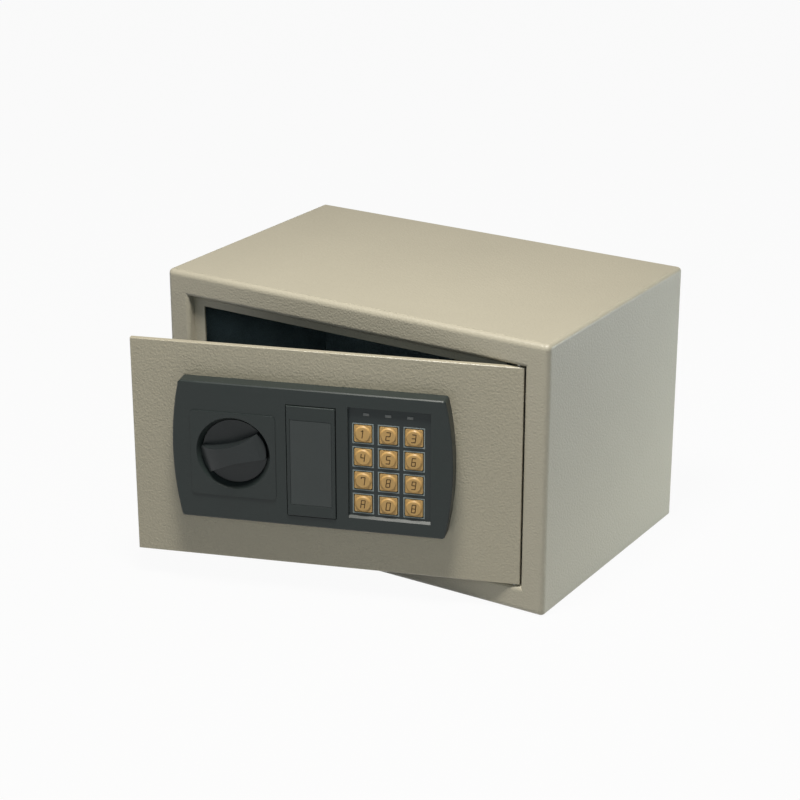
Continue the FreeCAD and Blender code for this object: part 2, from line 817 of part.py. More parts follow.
def keypad_bezel():
    """The moulded housing: bowed ends, a pad with a well for the knob, a bed for the override
    cover over the lock, and a window for the keypad."""
    body = new_body("keypad_bezel")
    left, bottom = BEZEL_LEFT, BEZEL_BOTTOM
    right, top = f"({left} + bezel_width)", f"({bottom} + bezel_tall)"
    profile = new_sketch(body, "XZ_Plane")
    line(profile, (left, bottom), (right, bottom))
    arc(profile, (right, bottom), (f"{right} + bezel_bulge", "bezel_middle"), (right, top), CAP_RADIUS)
    line(profile, (right, top), (left, top))
    arc(profile, (left, top), (f"{left} - bezel_bulge", "bezel_middle"), (left, bottom), CAP_RADIUS)
    pad(body, profile, "bezel_rise")
    tall = size("bezel_tall")/2
    fillet(body, lambda p: abs(abs(p.z - size("bezel_middle")) - tall) < 1e-3
           and not size(left) + 1 < p.x < size(right) - 1, "bezel_corner")
    chamfer(body, lambda p: near(-p.y, "bezel_rise"), "bezel_edge")
    knob_pad = new_sketch(body, "XZ_Plane", z="bezel_rise")
    soft_rectangle(knob_pad, "knob_across - pad_width/2", "pad_bottom",
                   "pad_width", "pad_tall", "pad_corner")
    pad(body, knob_pad, "pad_rise")
    well = new_sketch(body, "XY_Plane", "knob_across", "0", "knob_up")
    rim, face = "-(bezel_rise + pad_rise)", "-knob_face"
    outline(well, [
        ("0", f"{rim} - overcut"), ("rim_radius", f"{rim} - overcut"),
        ("rim_radius", rim), (WELL_RADIUS, face),
        (WELL_RADIUS, f"-{WELL_FLOOR}"), ("0", f"-{WELL_FLOOR}"),
    ])
    turn_profile(body, well, "V_Axis", "Groove")
    front = "bezel_rise + pad_rise"
    holes = new_sketch(body, "XZ_Plane", z=front)
    circle(holes, "knob_across", "knob_up", "bush_flange + hub_gap")
    circle(holes, "lock_across", "lock_up", "lock_well_radius")
    pocket(body, holes, front)
    bed = new_sketch(body, "XZ_Plane", z="bezel_rise")
    rectangle(bed, "lock_across - cover_width/2 - cover_gap", "cover_up - cover_tall/2 - cover_gap",
              "cover_width + 2*cover_gap", "cover_tall + 2*cover_gap")
    pocket(body, bed, "cover_thickness - cover_rise + seat_gap")
    pegs = new_sketch(body, "XZ_Plane", z="bezel_rise")
    for side in ("-", "+"):
        circle(pegs, "lock_across", f"cover_up {side} peg_half_pitch", "peg_radius + peg_gap")
    pocket(body, pegs, "cover_thickness - cover_rise + seat_gap + peg_length + peg_gap")
    window = new_sketch(body, "XZ_Plane", z="bezel_rise")
    rectangle(window, "keypad_across - keypad_width/2", "keypad_bottom",
              "keypad_width", "keypad_top - keypad_bottom")
    window_cut = pocket(body, window, "bezel_rise")
    sill = next(
        number for number, edge in enumerate(body.Tip.Shape.Edges, start=1)
        if near(-edge.CenterOfMass.y, "bezel_rise") and near(edge.CenterOfMass.z, "keypad_bottom")
    )
    ledge = body.newObject("PartDesign::Chamfer", "Chamfer")
    ledge.Base = (window_cut, [f"Edge{sill}"])
    ledge.ChamferType = 1
    bind(ledge, "Size", "keypad_ledge_rise")
    bind(ledge, "Size2", "keypad_ledge")
    doc.recompute()
    cavity = new_sketch(body, "XZ_Plane")
    rectangle(cavity, "keypad_across - keypad_width/2 - panel_margin", "keypad_bottom - panel_margin",
              "keypad_width + 2*panel_margin", "keypad_top - keypad_bottom + 2*panel_margin")
    pocket(body, cavity, PANEL_FRONT, reverse=True)
    screws = new_sketch(body, "XZ_Plane")
    for across, up in bezel_screw_places():
        circle(screws, across, up, "screw_radius + screw_gap")
    pocket(body, screws, "screw_depth + screw_gap", reverse=True)
    finish(body, "keypad_bezel", door_frame())


def override_cover():
    """The snap-on plate over the override lock, with a shallow bare bed for a label."""
    body = new_body("override_cover")
    left, bottom = "lock_across - cover_width/2", "cover_up - cover_tall/2"
    back = "bezel_rise + cover_rise - cover_thickness"
    profile = new_sketch(body, "XZ_Plane", z=back)
    rectangle(profile, left, bottom, "cover_width", "cover_tall")
    pad(body, profile, "cover_thickness")
    fillet(body, lambda p: near(-p.y, "bezel_rise + cover_rise"), "cover_corner")
    label = new_sketch(body, "XZ_Plane", z="bezel_rise + cover_rise")
    rectangle(label, "lock_across - label_width/2", "label_up - label_tall/2", "label_width", "label_tall")
    pocket(body, label, "label_depth")
    pegs = new_sketch(body, "XZ_Plane", z=back)
    for side in ("-", "+"):
        circle(pegs, "lock_across", f"cover_up {side} peg_half_pitch", "peg_radius")
    pad(body, pegs, "peg_length", reverse=True)
    finish(body, "override_cover", door_frame())


def key_centres():
    """The keys' names and centres, row by row from the top."""
    names = [["1", "2", "3"], ["4", "5", "6"], ["7", "8", "9"], ["a", "0", "b"]]
    for row, line_of_names in enumerate(names):
        for column, name in enumerate(line_of_names):
            across = f"(key_across + {column - 1}*key_pitch_across)"
            up = f"(key_up + {1.5 - row}*key_pitch_up)"
            yield name, across, up


def post_centres():
    """The four places between keys where the keypad panel's posts stand."""
    return [(f"(key_across + {x}*key_pitch_across)", f"(key_up + {z}*key_pitch_up)")
            for x in (-0.5, 0.5) for z in (-1, 1)]


def keypad_panel():
    """The plate behind the window that guides the keys, with posts for the keypad board."""
    body = new_body("keypad_panel")
    margin = "(panel_margin - panel_gap)"
    profile = new_sketch(body, "XZ_Plane", z=PANEL_BACK)
    rectangle(profile, f"keypad_across - keypad_width/2 - {margin}", f"keypad_bottom - {margin}",
              f"keypad_width + 2*{margin}", f"keypad_top - keypad_bottom + 2*{margin}")
    opening = "(key_side + 2*key_gap)"
    for _, across, up in key_centres():
        rectangle(profile, f"{across} - {opening}/2", f"{up} - {opening}/2", opening, opening)
    for column in (-1, 0, 1):
        across = f"(lens_across + {column}*lens_pitch)"
        rectangle(profile, f"{across} - lens_width/2 - press_gap", "lens_up - lens_height/2 - press_gap",
                  "lens_width + 2*press_gap", "lens_height + 2*press_gap")
    pad(body, profile, "panel_thickness")
    posts = new_sketch(body, "XZ_Plane", z=BOARD_FRONT)
    for across, up in post_centres():
        circle(posts, across, up, "post_radius")
    pad(body, posts, f"{PANEL_BACK} - {BOARD_FRONT}")
    finish(body, "keypad_panel", door_frame())


def indicator_lenses():
    lenses = [
        box(f"lens_across + {column}*lens_pitch - lens_width/2", f"-{PANEL_FRONT} - lens_proud",
            "lens_up - lens_height/2", "lens_width", "panel_thickness + lens_proud", "lens_height")
        for column in (-1, 0, 1)
    ]
    finish(grouped(lenses), "indicator_lenses", door_frame())


def key(name, across, up):
    """A square keycap with a round dome. The flange behind the panel keeps it in."""
    body = new_body("key_" + name)
    flange_side = "(key_side + 2*key_flange_margin)"
    flange = new_sketch(body, "XZ_Plane", z=KEY_FLANGE_BACK)
    rectangle(flange, f"{across} - {flange_side}/2", f"{up} - {flange_side}/2", flange_side, flange_side)
    pad(body, flange, "key_flange")
    cap_back = f"({KEY_FLANGE_BACK} + key_flange)"
    cap_front = f"({PANEL_FRONT} + key_rise)"
    cap = new_sketch(body, "XZ_Plane", z=cap_back)
    soft_rectangle(cap, f"{across} - key_side/2", f"{up} - key_side/2", "key_side", "key_side", "key_corner")
    pad(body, cap, f"{cap_front} - {cap_back}")
    dome = new_sketch(body, "XZ_Plane", z=cap_front)
    circle(dome, across, up, "key_dome_radius")
    pad(body, dome, "key_dome_rise")
    chamfer(body, lambda p: near(-p.y, f"{cap_front} + key_dome_rise"), "key_dome_edge")
    finish(body, "key_" + name, door_frame())


def keypad_board():
    """The keypad's circuit board, screwed against the panel's posts."""
    board = box("keypad_across - keypad_width/2 - panel_gap", f"-{BOARD_FRONT}", "keypad_bottom - panel_gap",
                "keypad_width + 2*panel_gap", "board_thickness", "keypad_top - keypad_bottom + 2*panel_gap")
    finish(grouped([board]), "keypad_board", door_frame())


def tact_switches():
    switches = [
        box(f"{across} - switch_side/2", f"-{SWITCH_TOP}", f"{up} - switch_side/2",
            "switch_side", f"{SWITCH_TOP} - {BOARD_FRONT}", "switch_side")
        for _, across, up in key_centres()
    ]
    finish(grouped(switches), "tact_switches", door_frame())


def keypad_ribbon():
    """The flat lead from the keypad board through the door plate to the control board."""
    ribbon = box("keypad_across - ribbon_width/2", "-keypad_board_back", "ribbon_up - ribbon_thickness/2",
                 "ribbon_width", "keypad_board_back + control_depth", "ribbon_thickness")
    finish(grouped([ribbon]), "keypad_ribbon", door_frame())


def bezel_screws():
    """Screws put in from behind the door plate into the keypad housing."""
    screws = []
    for across, up in bezel_screw_places():
        head = rod("y", across, "door_thickness", up, "screw_head", "screw_head_rise")
        shank = rod("y", across, "-screw_depth", up, "screw_radius", "screw_depth + door_thickness")
        screws.append(joined([head, shank]))
    finish(grouped(screws), "bezel_screws", door_frame())


# Knob, crank and bolts


def knob():
    """A disc with a waisted grip across it. The grip humps to the middle and falls off in a
    flat slope at each end."""
    body = new_body("knob")
    disc = new_sketch(body, "XZ_Plane", z=DISC_BACK)
    circle(disc, "0", "0", "knob_radius")
    pad(body, disc, "disc_thickness")
    end_x = "sqrt(knob_radius^2 - grip_end_width^2/4)"
    high = "(grip_end_width/2)"
    waist = "(grip_waist/2)"
    sag = f"({high} - {waist})"
    sweep = f"(({end_x})^2 + {sag}^2)/(2*{sag})"
    grip = new_sketch(body, "XZ_Plane", z="knob_face")
    arc(grip, (end_x, f"-{high}"), ("knob_radius", "0"), (end_x, high), "knob_radius")
    arc(grip, (f"-{end_x}", high), ("0", waist), (end_x, high), sweep)
    arc(grip, (f"-{end_x}", high), ("-knob_radius", "0"), (f"-{end_x}", f"-{high}"), "knob_radius")
    arc(grip, (end_x, f"-{high}"), ("0", f"-{waist}"), (f"-{end_x}", f"-{high}"), sweep)
    pad(body, grip, "grip_top - knob_face")
    hump = new_sketch(body, "XY_Plane", z="-knob_radius")
    out, crease, crown = "(knob_radius + overcut)", "-grip_crease", "-grip_top"
    slope = "grip_slope/(knob_radius - grip_crease_out)"
    rim = f"-grip_crease + {slope}*({out} - grip_crease_out)"
    above = "-grip_top - overcut"
    rise = "(grip_top - grip_crease)"
    arc(hump, ("-grip_crease_out", crease), ("0", crown), ("grip_crease_out", crease),
        f"(grip_crease_out^2 + {rise}^2)/(2*{rise})")
    line(hump, ("grip_crease_out", crease), (out, rim))
    line(hump, (out, rim), (out, above))
    line(hump, (out, above), (f"-{out}", above))
    line(hump, (f"-{out}", above), (f"-{out}", rim))
    line(hump, (f"-{out}", rim), ("-grip_crease_out", crease))
    pocket(body, hump, "2*knob_radius", reverse=True)
    hub = new_sketch(body, "XZ_Plane", z=DISC_BACK)
    circle(hub, "0", "0", "hub_radius")
    pad(body, hub, f"{DISC_BACK} - bush_flange_rise - seat_gap", reverse=True)
    bore = new_sketch(body, "XZ_Plane", z="bush_flange_rise + seat_gap")
    circle(bore, "0", "0", "spindle_radius + press_gap")
    pocket(body, bore, "spindle_in_knob + press_gap", reverse=True)
    finish(body, "knob", on_knob_axis(size("grip_turn")))


def knob_works():
    """The bush in the door plate, the spindle through it, the crank arm on its tail and the
    screw that holds the arm."""
    turned("spindle_bush", door_frame(), "knob_across", "knob_up", [
        ("spindle_radius + pin_clearance", "-bush_flange_rise"), ("bush_flange", "-bush_flange_rise"),
        ("bush_flange", "0"), ("bush_radius", "0"), ("bush_radius", "door_thickness"),
        ("spindle_radius + pin_clearance", "door_thickness"),
    ])
    front = "-(bush_flange_rise + seat_gap + spindle_in_knob)"
    turned("knob_spindle", door_frame(), "knob_across", "knob_up", [
        ("0", front), ("spindle_radius", front), ("spindle_radius", ARM_FRONT),
        ("spindle_tail", ARM_FRONT), ("spindle_tail", ARM_BACK), ("0", ARM_BACK),
    ])
    body = new_body("crank_arm")
    profile = new_sketch(body, "XZ_Plane", z=f"-{ARM_FRONT}")
    long_slot(profile, "0", "0", "crank_radius", "arm_radius")
    circle(profile, "0", "0", "spindle_tail + press_gap")
    pad(body, profile, "arm_thickness", reverse=True)
    pin = new_sketch(body, "XZ_Plane", z=f"-{ARM_BACK}")
    circle(pin, "crank_radius", "0", "crank_pin")
    pad(body, pin, f"{CARRIAGE_BACK} - {ARM_BACK} + seat_gap", reverse=True)
    finish(body, "crank_arm", on_knob_axis(90 - size("crank_half_turn")))
    turned("spindle_screw", door_frame(), "knob_across", "knob_up", [
        ("0", ARM_BACK), ("crank_screw_radius", ARM_BACK),
        ("crank_screw_radius", f"{ARM_BACK} + screw_head_rise"),
        ("0", f"{ARM_BACK} + screw_head_rise"),
    ])


def bolt_levels():
    return ["(knob_up - bolt_half_pitch)", "(knob_up + bolt_half_pitch)"]


def bolt_carriage():
    """The plate that the crank slides. Its folded edge carries the bolts, its two slots run on
    the guide studs, and the end of its tongue is what the solenoid's plunger drops behind."""
    body = new_body("bolt_carriage")
    low, high = "knob_up - web_half_tall", "knob_up + web_half_tall"
    web_right, tongue_right = "web_left + web_width", "web_left + web_width + tongue_reach"
    tongue_low = "knob_up - tongue_below"
    profile = new_sketch(body, "XZ_Plane", z="-carriage_depth")
    outline(profile, [
        ("web_left", low), (web_right, low), (web_right, tongue_low), (tongue_right, tongue_low),
        (tongue_right, TONGUE_TOP), (web_right, TONGUE_TOP), (web_right, high), ("web_left", high),
    ])
    pad(body, profile, "plate_gauge", reverse=True)
    edge = new_sketch(body, "XZ_Plane", z=f"-{CARRIAGE_BACK}")
    rectangle(edge, "web_left", low, "plate_gauge", "2*web_half_tall")
    pad(body, edge, "flange_depth", reverse=True)
    slots = new_sketch(body, "XZ_Plane", z="-carriage_depth")
    for up in bolt_levels():
        long_slot(slots, "stud_across", up, "bolt_travel", "stud_radius + slot_clearance")
    half = "(crank_pin + crank_slack)"
    pin_x = "(knob_across + crank_radius*sin(crank_half_turn*1deg))"
    pin_low = "knob_up + crank_radius*cos(crank_half_turn*1deg)"
    rectangle(slots, f"{pin_x} - {half}", f"{pin_low} - {half}", f"2*{half}",
              f"crank_radius*(1 - cos(crank_half_turn*1deg)) + 2*{half}")
    pocket(body, slots, "plate_gauge")
    bores = new_sketch(body, "YZ_Plane", z="web_left")
    for up in bolt_levels():
        circle(bores, "bolt_depth", up, "spigot_radius + press_gap")
    pocket(body, bores, "plate_gauge", reverse=True)
    finish(body, "bolt_carriage", door_frame())


def locking_bolts():
    """Two round bolts. Each has a spigot riveted through the carriage's folded edge."""
    bolts = []
    for up in bolt_levels():
        shaft = rod("x", BOLT_TIP, "bolt_depth", up, "bolt_radius", f"web_left - {BOLT_TIP}")
        nose = doc.addObject("Part::Chamfer", "Nose")
        nose.Base = shaft
        doc.recompute()
        rim = min(range(len(shaft.Shape.Edges)), key=lambda number: shaft.Shape.Edges[number].BoundBox.XMax)
        nose.Edges = [(rim + 1, size("bolt_chamfer"), size("bolt_chamfer"))]
        spigot = rod("x", "web_left", "bolt_depth", up, "spigot_radius", "plate_gauge + spigot_tail")
        bolts.append(joined([nose, spigot]))
    finish(grouped(bolts), "locking_bolts", door_frame())


def bolt_guide_bracket():
    """The angle welded behind the door's free edge that the bolts slide through.

    Its foot reaches a little past half way to the heads of the bezel's screws.
    """
    body = new_body("bolt_guide_bracket")
    profile = new_sketch(body, "XY_Plane", z="knob_up - web_half_tall")
    foot_back = "door_thickness + guide_gauge"
    outline(profile, [
        (GUIDE_OUT, "door_thickness"), (f"{GUIDE_OUT} + {GUIDE_FOOT}", "door_thickness"),
        (f"{GUIDE_OUT} + {GUIDE_FOOT}", foot_back), (f"{GUIDE_OUT} + guide_gauge", foot_back),
        (f"{GUIDE_OUT} + guide_gauge", "door_thickness + guide_depth"),
        (GUIDE_OUT, "door_thickness + guide_depth"),
    ])
    pad(body, profile, "2*web_half_tall")
    bores = new_sketch(body, "YZ_Plane", z=GUIDE_OUT)
    for up in bolt_levels():
        circle(bores, "bolt_depth", up, "bolt_radius + bolt_clearance")
    pocket(body, bores, "guide_gauge", reverse=True)
    finish(body, "bolt_guide_bracket", door_frame())


def guide_studs():
    """Headed studs riveted to the door plate, with a collar in front of the carriage."""
    studs = []
    collar_end = "carriage_depth - stud_slack"
    head_front = f"{CARRIAGE_BACK} + stud_slack"
    for up in bolt_levels():
        collar = rod("y", "stud_across", "door_thickness", up, "stud_collar",
                     f"{collar_end} - door_thickness")
        neck = rod("y", "stud_across", collar_end, up, "stud_radius", f"{head_front} - ({collar_end})")
        head = rod("y", "stud_across", head_front, up, "stud_collar", "stud_head")
        studs.append(joined([collar, neck, head]))
    finish(grouped(studs), "guide_studs", door_frame())


# Solenoid


def solenoid():
    """A boxed coil on a bracket above the carriage's tongue. Its sprung plunger rides on the
    tongue while the bolts are drawn, and drops behind it once they are thrown."""
    margin = "solenoid_bracket_margin"
    left = "(solenoid_across - solenoid_width/2)"
    axis = "(carriage_depth + plate_gauge/2)"
    front = "(door_thickness + solenoid_bracket)"
    deep = f"(2*({axis} - {front}))"
    bracket = box(f"{left} - {margin}", "door_thickness", f"{SOLENOID_UP} - {margin}/2",
                  f"solenoid_width + 2*{margin}", "solenoid_bracket", f"solenoid_tall + {margin}")
    finish(grouped([bracket]), "solenoid_bracket", door_frame())
    tip = f"({TONGUE_TOP} + seat_gap)"
    block = box(left, front, SOLENOID_UP, "solenoid_width", deep, "solenoid_tall")
    bore = rod("z", "solenoid_across", axis, SOLENOID_UP, "plunger_radius + plunger_gap",
               f"{tip} + plunger_length + plunger_stroke + seat_gap - {SOLENOID_UP}")
    finish(cut(block, [bore]), "solenoid_body", door_frame())
    stem = rod("z", "solenoid_across", axis, tip, "plunger_radius", "plunger_length")
    collar = rod("z", "solenoid_across", axis, f"{tip} + collar_lift", "collar_radius", "collar_height")
    finish(joined([stem, collar]), "solenoid_plunger", door_frame())
    foot = f"({tip} + collar_lift + collar_height)"
    run = size(f"{SOLENOID_UP} - {foot} - 2*spring_wire - 2*spring_end_gap")
    steps = int(size("spring_turns")*size("spring_steps"))
    turn, radius, wire = 2*math.pi/size("spring_steps"), size("spring_radius"), size("spring_wire")
    coil = Part.makePolygon([
        Vector(radius*math.cos(step*turn), radius*math.sin(step*turn), run*step/steps)
        for step in range(steps + 1)
    ])
    corners = [
        Vector(radius + wire*math.cos(side*math.pi/3), 0, wire*math.sin(side*math.pi/3)) for side in range(7)
    ]
    spring = doc.addObject("Part::Feature", "Spring")
    spring.Shape = coil.makePipeShell([Part.makePolygon(corners)], True, True, 1)
    seat = Vector(size("solenoid_across"), size(axis), size(f"{foot} + spring_wire + spring_end_gap"))
    finish(spring, "plunger_spring", door_frame() * Placement(seat, Rotation()))


# Override lock


def override_lock():
    axis = (door_frame(), "lock_across", "lock_up")
    bore = "plug_radius + plug_clearance"
    turned("lock_cylinder", *axis, [
        (bore, "-lock_front"), ("lock_radius", "-lock_front"), ("lock_radius", "-lock_head_rise"),
        ("lock_head", "-lock_head_rise"), ("lock_head", "0"), ("lock_radius", "0"),
        ("lock_radius", "lock_back"), (bore, "lock_back"),
    ])
    nut = new_body("lock_nut")
    profile = new_sketch(nut, "XZ_Plane", "lock_across", "lock_up", "-door_thickness")
    flat = "nut_across/2/cos(30deg)"
    outline(profile, [(f"{flat}*cos({60*step}deg)", f"{flat}*sin({60*step}deg)") for step in range(6)])
    circle(profile, "0", "0", "lock_radius + lock_hole_gap")
    pad(nut, profile, "nut_height", reverse=True)
    finish(nut, "lock_nut", door_frame())
    cam_front, cam_back = "(lock_back + cam_gap)", "(lock_back + cam_gap + cam_thickness)"
    plug = turned("lock_plug", *axis, [
        ("0", "-lock_front"), ("plug_radius", "-lock_front"), ("plug_radius", cam_front),
        ("plug_tail_radius", cam_front), ("plug_tail_radius", cam_back), ("0", cam_back),
    ])
    keyway = new_sketch(plug, "XZ_Plane", "lock_across", "lock_up", "lock_front")
    rectangle(keyway, "-keyway_width/2", "-keyway_height/2", "keyway_width", "keyway_height")
    pocket(plug, keyway, "keyway_depth")
    cam = new_body("lock_cam")
    lever = new_sketch(cam, "XZ_Plane", "lock_across", "lock_up", f"-{cam_front}")
    long_slot(lever, "0", "0", "cam_reach", "cam_radius")
    circle(lever, "0", "0", "plug_tail_radius + press_gap")
    pad(cam, lever, "cam_thickness", reverse=True)
    finish(cam, "lock_cam", door_frame())


# Inner cover, boards and batteries


def stand_places():
    """Where the inner cover's posts stand. The right pair passes beside the battery box."""
    across = [f"({CASE_LEFT} + post_inset)", f"({CASE_RIGHT} - post_right_inset)"]
    up = [f"({CASE_BOTTOM} + post_inset)", f"({CASE_TOP} - post_inset)"]
    return [(x, z) for x in across for z in up]


def mechanism_cover():
    """A drawn steel cover over the works, with holes for the bolts, the reset button, the
    battery door and four screws. A notch clears the guide bracket's foot."""
    body = new_body("mechanism_cover")
    deep = "case_depth - door_thickness - case_lift"
    profile = new_sketch(body, "XZ_Plane", z="-(door_thickness + case_lift)")
    rectangle(profile, CASE_LEFT, CASE_BOTTOM,
              f"{CASE_RIGHT} - {CASE_LEFT}", f"{CASE_TOP} - {CASE_BOTTOM}")
    pad(body, profile, deep, reverse=True)
    front = size("door_thickness + case_lift")
    fillet(body, lambda p: p.y > front + 1e-4 or on_case_corner(p), "case_corner")
    cavity = new_sketch(body, "XZ_Plane", z="-(door_thickness + case_lift)")
    soft_rectangle(cavity, f"{CASE_LEFT} + case_gauge", f"{CASE_BOTTOM} + case_gauge",
                   f"{CASE_RIGHT} - {CASE_LEFT} - 2*case_gauge", f"{CASE_TOP} - {CASE_BOTTOM} - 2*case_gauge",
                   "case_corner - case_gauge")
    pocket(body, cavity, f"{CASE_INSIDE} - door_thickness - case_lift")
    face = new_sketch(body, "XZ_Plane", z="-case_depth")
    rectangle(face, f"{TRAY_LEFT} + tray_wall - battery_seat", f"{TRAY_BOTTOM} + tray_wall - battery_seat",
              f"{TRAY_WIDTH} - 2*tray_wall + 2*battery_seat", f"{TRAY_TALL} - 2*tray_wall + 2*battery_seat")
    circle(face, *reset_place(), "reset_radius + reset_clearance")
    for across, up in stand_places():
        circle(face, across, up, "screw_radius + screw_gap")
    pocket(body, face, "case_gauge + overcut", reverse=True)
    side = new_sketch(body, "YZ_Plane", z=CASE_LEFT)
    for up in bolt_levels():
        circle(side, "bolt_depth", up, "bolt_radius + bolt_hole_gap")
    rectangle(side, "door_thickness", "knob_up - web_half_tall - seat_gap",
              "guide_gauge + seat_gap", "2*web_half_tall + 2*seat_gap")
    pocket(body, side, "case_gauge", reverse=True)
    finish(body, "mechanism_cover", door_frame())


def on_case_corner(point):
    """Whether a point lies on one of the inner cover's four upright corners."""
    on_side = near(point.x, CASE_LEFT) or near(point.x, CASE_RIGHT)
    return on_side and (near(point.z, CASE_BOTTOM) or near(point.z, CASE_TOP))


def reset_place():
    return (f"({CONTROL_LEFT} + control_width - reset_inset)", f"({CONTROL_BOTTOM} + control_tall/2)")


def cover_fixings():
    stands, screws = [], []
    for across, up in stand_places():
        post = hex_rod(across, "door_thickness", up, "stand_radius", f"{CASE_INSIDE} - door_thickness")
        bore = rod("y", across, f"{CASE_INSIDE} - screw_depth", up, "screw_radius + press_gap", "screw_depth")
        stands.append(cut(post, [bore]))
        head = rod("y", across, "case_depth", up, "screw_head", "screw_head_rise")
        shank = rod("y", across, "case_depth - screw_depth", up, "screw_radius", "screw_depth")
        screws.append(joined([head, shank]))
    finish(grouped(stands), "cover_posts", door_frame())
    finish(grouped(screws), "cover_screws", door_frame())


def control_board():
    """The control board on four posts, with its relay, a chip and the reset switch."""
    board = box(CONTROL_LEFT, "control_depth", CONTROL_BOTTOM,
                "control_width", "board_thickness", "control_tall")
    back = "(control_depth + board_thickness)"
    switch_back = (
        "(case_depth - case_gauge - seat_gap - reset_flange - reset_travel - switch_gap)"
    )
    across, up = reset_place()
    switch = box(f"{across} - switch_side/2", back, f"{up} - switch_side/2",
                 "switch_side", f"{switch_back} - {back}", "switch_side")
    chip = box(f"{CONTROL_LEFT} + control_width/3", back, f"{CONTROL_BOTTOM} + control_tall/3",
               "chip_width", "chip_rise", "chip_tall")
    relay = box(f"{CONTROL_LEFT} + control_width/2 + relay_gap", back, f"{CONTROL_BOTTOM} + control_tall/2",
                "relay_width", "relay_rise", "relay_tall")
    finish(joined([board, switch, chip, relay]), "control_board", door_frame())
    inset = "control_post_inset"
    posts = [
        hex_rod(x, "door_thickness", z, "control_post_radius", "control_depth - door_thickness")
        for x in (f"{CONTROL_LEFT} + {inset}", f"{CONTROL_LEFT} + control_width - {inset}")
        for z in (f"{CONTROL_BOTTOM} + {inset}", f"{CONTROL_BOTTOM} + control_tall - {inset}")
    ]
    finish(grouped(posts), "board_posts", door_frame())


def reset_button():
    flange_front = "(case_depth - case_gauge - seat_gap - reset_flange)"
    flange_back = "(case_depth - case_gauge - seat_gap)"
    tip = "(case_depth + reset_proud)"
    turned("reset_button", door_frame(), *reset_place(), [
        ("0", flange_front), ("reset_flange_radius", flange_front), ("reset_flange_radius", flange_back),
        ("reset_radius", flange_back), ("reset_radius", f"{tip} - reset_bevel"),
        ("reset_radius - reset_bevel", tip), ("0", tip),
    ])


def battery_box():
    """An open tray behind the inner cover, four cells in it, and the door that closes it."""
    tray = new_body("battery_tray")
    rim = f"-{CASE_INSIDE}"
    profile = new_sketch(tray, "XZ_Plane", z=rim)
    rectangle(profile, TRAY_LEFT, TRAY_BOTTOM, TRAY_WIDTH, TRAY_TALL)
    pad(tray, profile, "tray_depth")
    hollow = new_sketch(tray, "XZ_Plane", z=rim)
    rectangle(hollow, f"{TRAY_LEFT} + tray_wall", f"{TRAY_BOTTOM} + tray_wall",
              f"{TRAY_WIDTH} - 2*tray_wall", f"{TRAY_TALL} - 2*tray_wall")
    pocket(tray, hollow, "tray_depth - tray_wall", reverse=True)
    finish(tray, "battery_tray", door_frame())
    cells = []
    cell_left = f"({TRAY_LEFT} + tray_wall + cell_end_gap)"
    cell_deep = f"({TRAY_BACK} + tray_wall + cell_radius + cell_seat)"
    for number in range(4):
        up = f"({TRAY_BOTTOM} + tray_wall + tray_side_gap + {number + 0.5}*cell_pitch)"
        can = rod("x", cell_left, cell_deep, up, "cell_radius", "cell_length")
        tip_at = f"{cell_left} + cell_length" if number % 2 else f"{cell_left} - cell_tip"
        tip = rod("x", tip_at, cell_deep, up, "cell_tip_radius", "cell_tip")
        cells.append(joined([can, tip]))
    finish(grouped(cells), "batteries", door_frame())
    seat = "(tray_wall - battery_seat + panel_gap)"
    lid = box(f"{TRAY_LEFT} + {seat}", CASE_INSIDE, f"{TRAY_BOTTOM} + {seat}",
              f"{TRAY_WIDTH} - 2*{seat}", "case_gauge", f"{TRAY_TALL} - 2*{seat}")
    scoop = box(f"{TRAY_LEFT} + {TRAY_WIDTH}/2 - scoop_width/2", "case_depth - scoop_depth",
                f"{TRAY_BOTTOM} + scoop_up", "scoop_width", "scoop_depth + overcut", "scoop_tall")
    finish(cut(lid, [scoop]), "battery_cover", door_frame())


body_wrap()
back_panel()
door_seat_frame()
hinge_plates()
linings()
door_plate()
hinges()
keypad_bezel()
override_cover()
keypad_panel()
indicator_lenses()
for key_name, key_x, key_z in key_centres():
    key(key_name, key_x, key_z)
keypad_board()
tact_switches()
keypad_ribbon()
bezel_screws()
knob()
knob_works()
bolt_carriage()
locking_bolts()
bolt_guide_bracket()
guide_studs()
solenoid()
override_lock()
mechanism_cover()
cover_fixings()
control_board()
reset_button()
battery_box()
doc.recompute()

for item in doc.Objects:
    if "Invalid" in item.State or "Error" in item.State:
        raise ValueError(f"{item.Label} failed to build")
for label, item in parts.items():
    if item.Shape.isNull() or not item.Shape.isValid():
        raise ValueError(f"{label} has no valid shape")

os.makedirs("parts", exist_ok=True)
for label, item in parts.items():
    item.Shape.exportStep(f"parts/{label}.step")
print(len(parts), "sub-parts written")
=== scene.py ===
import json
import math

import bpy
from mathutils import Matrix, Vector


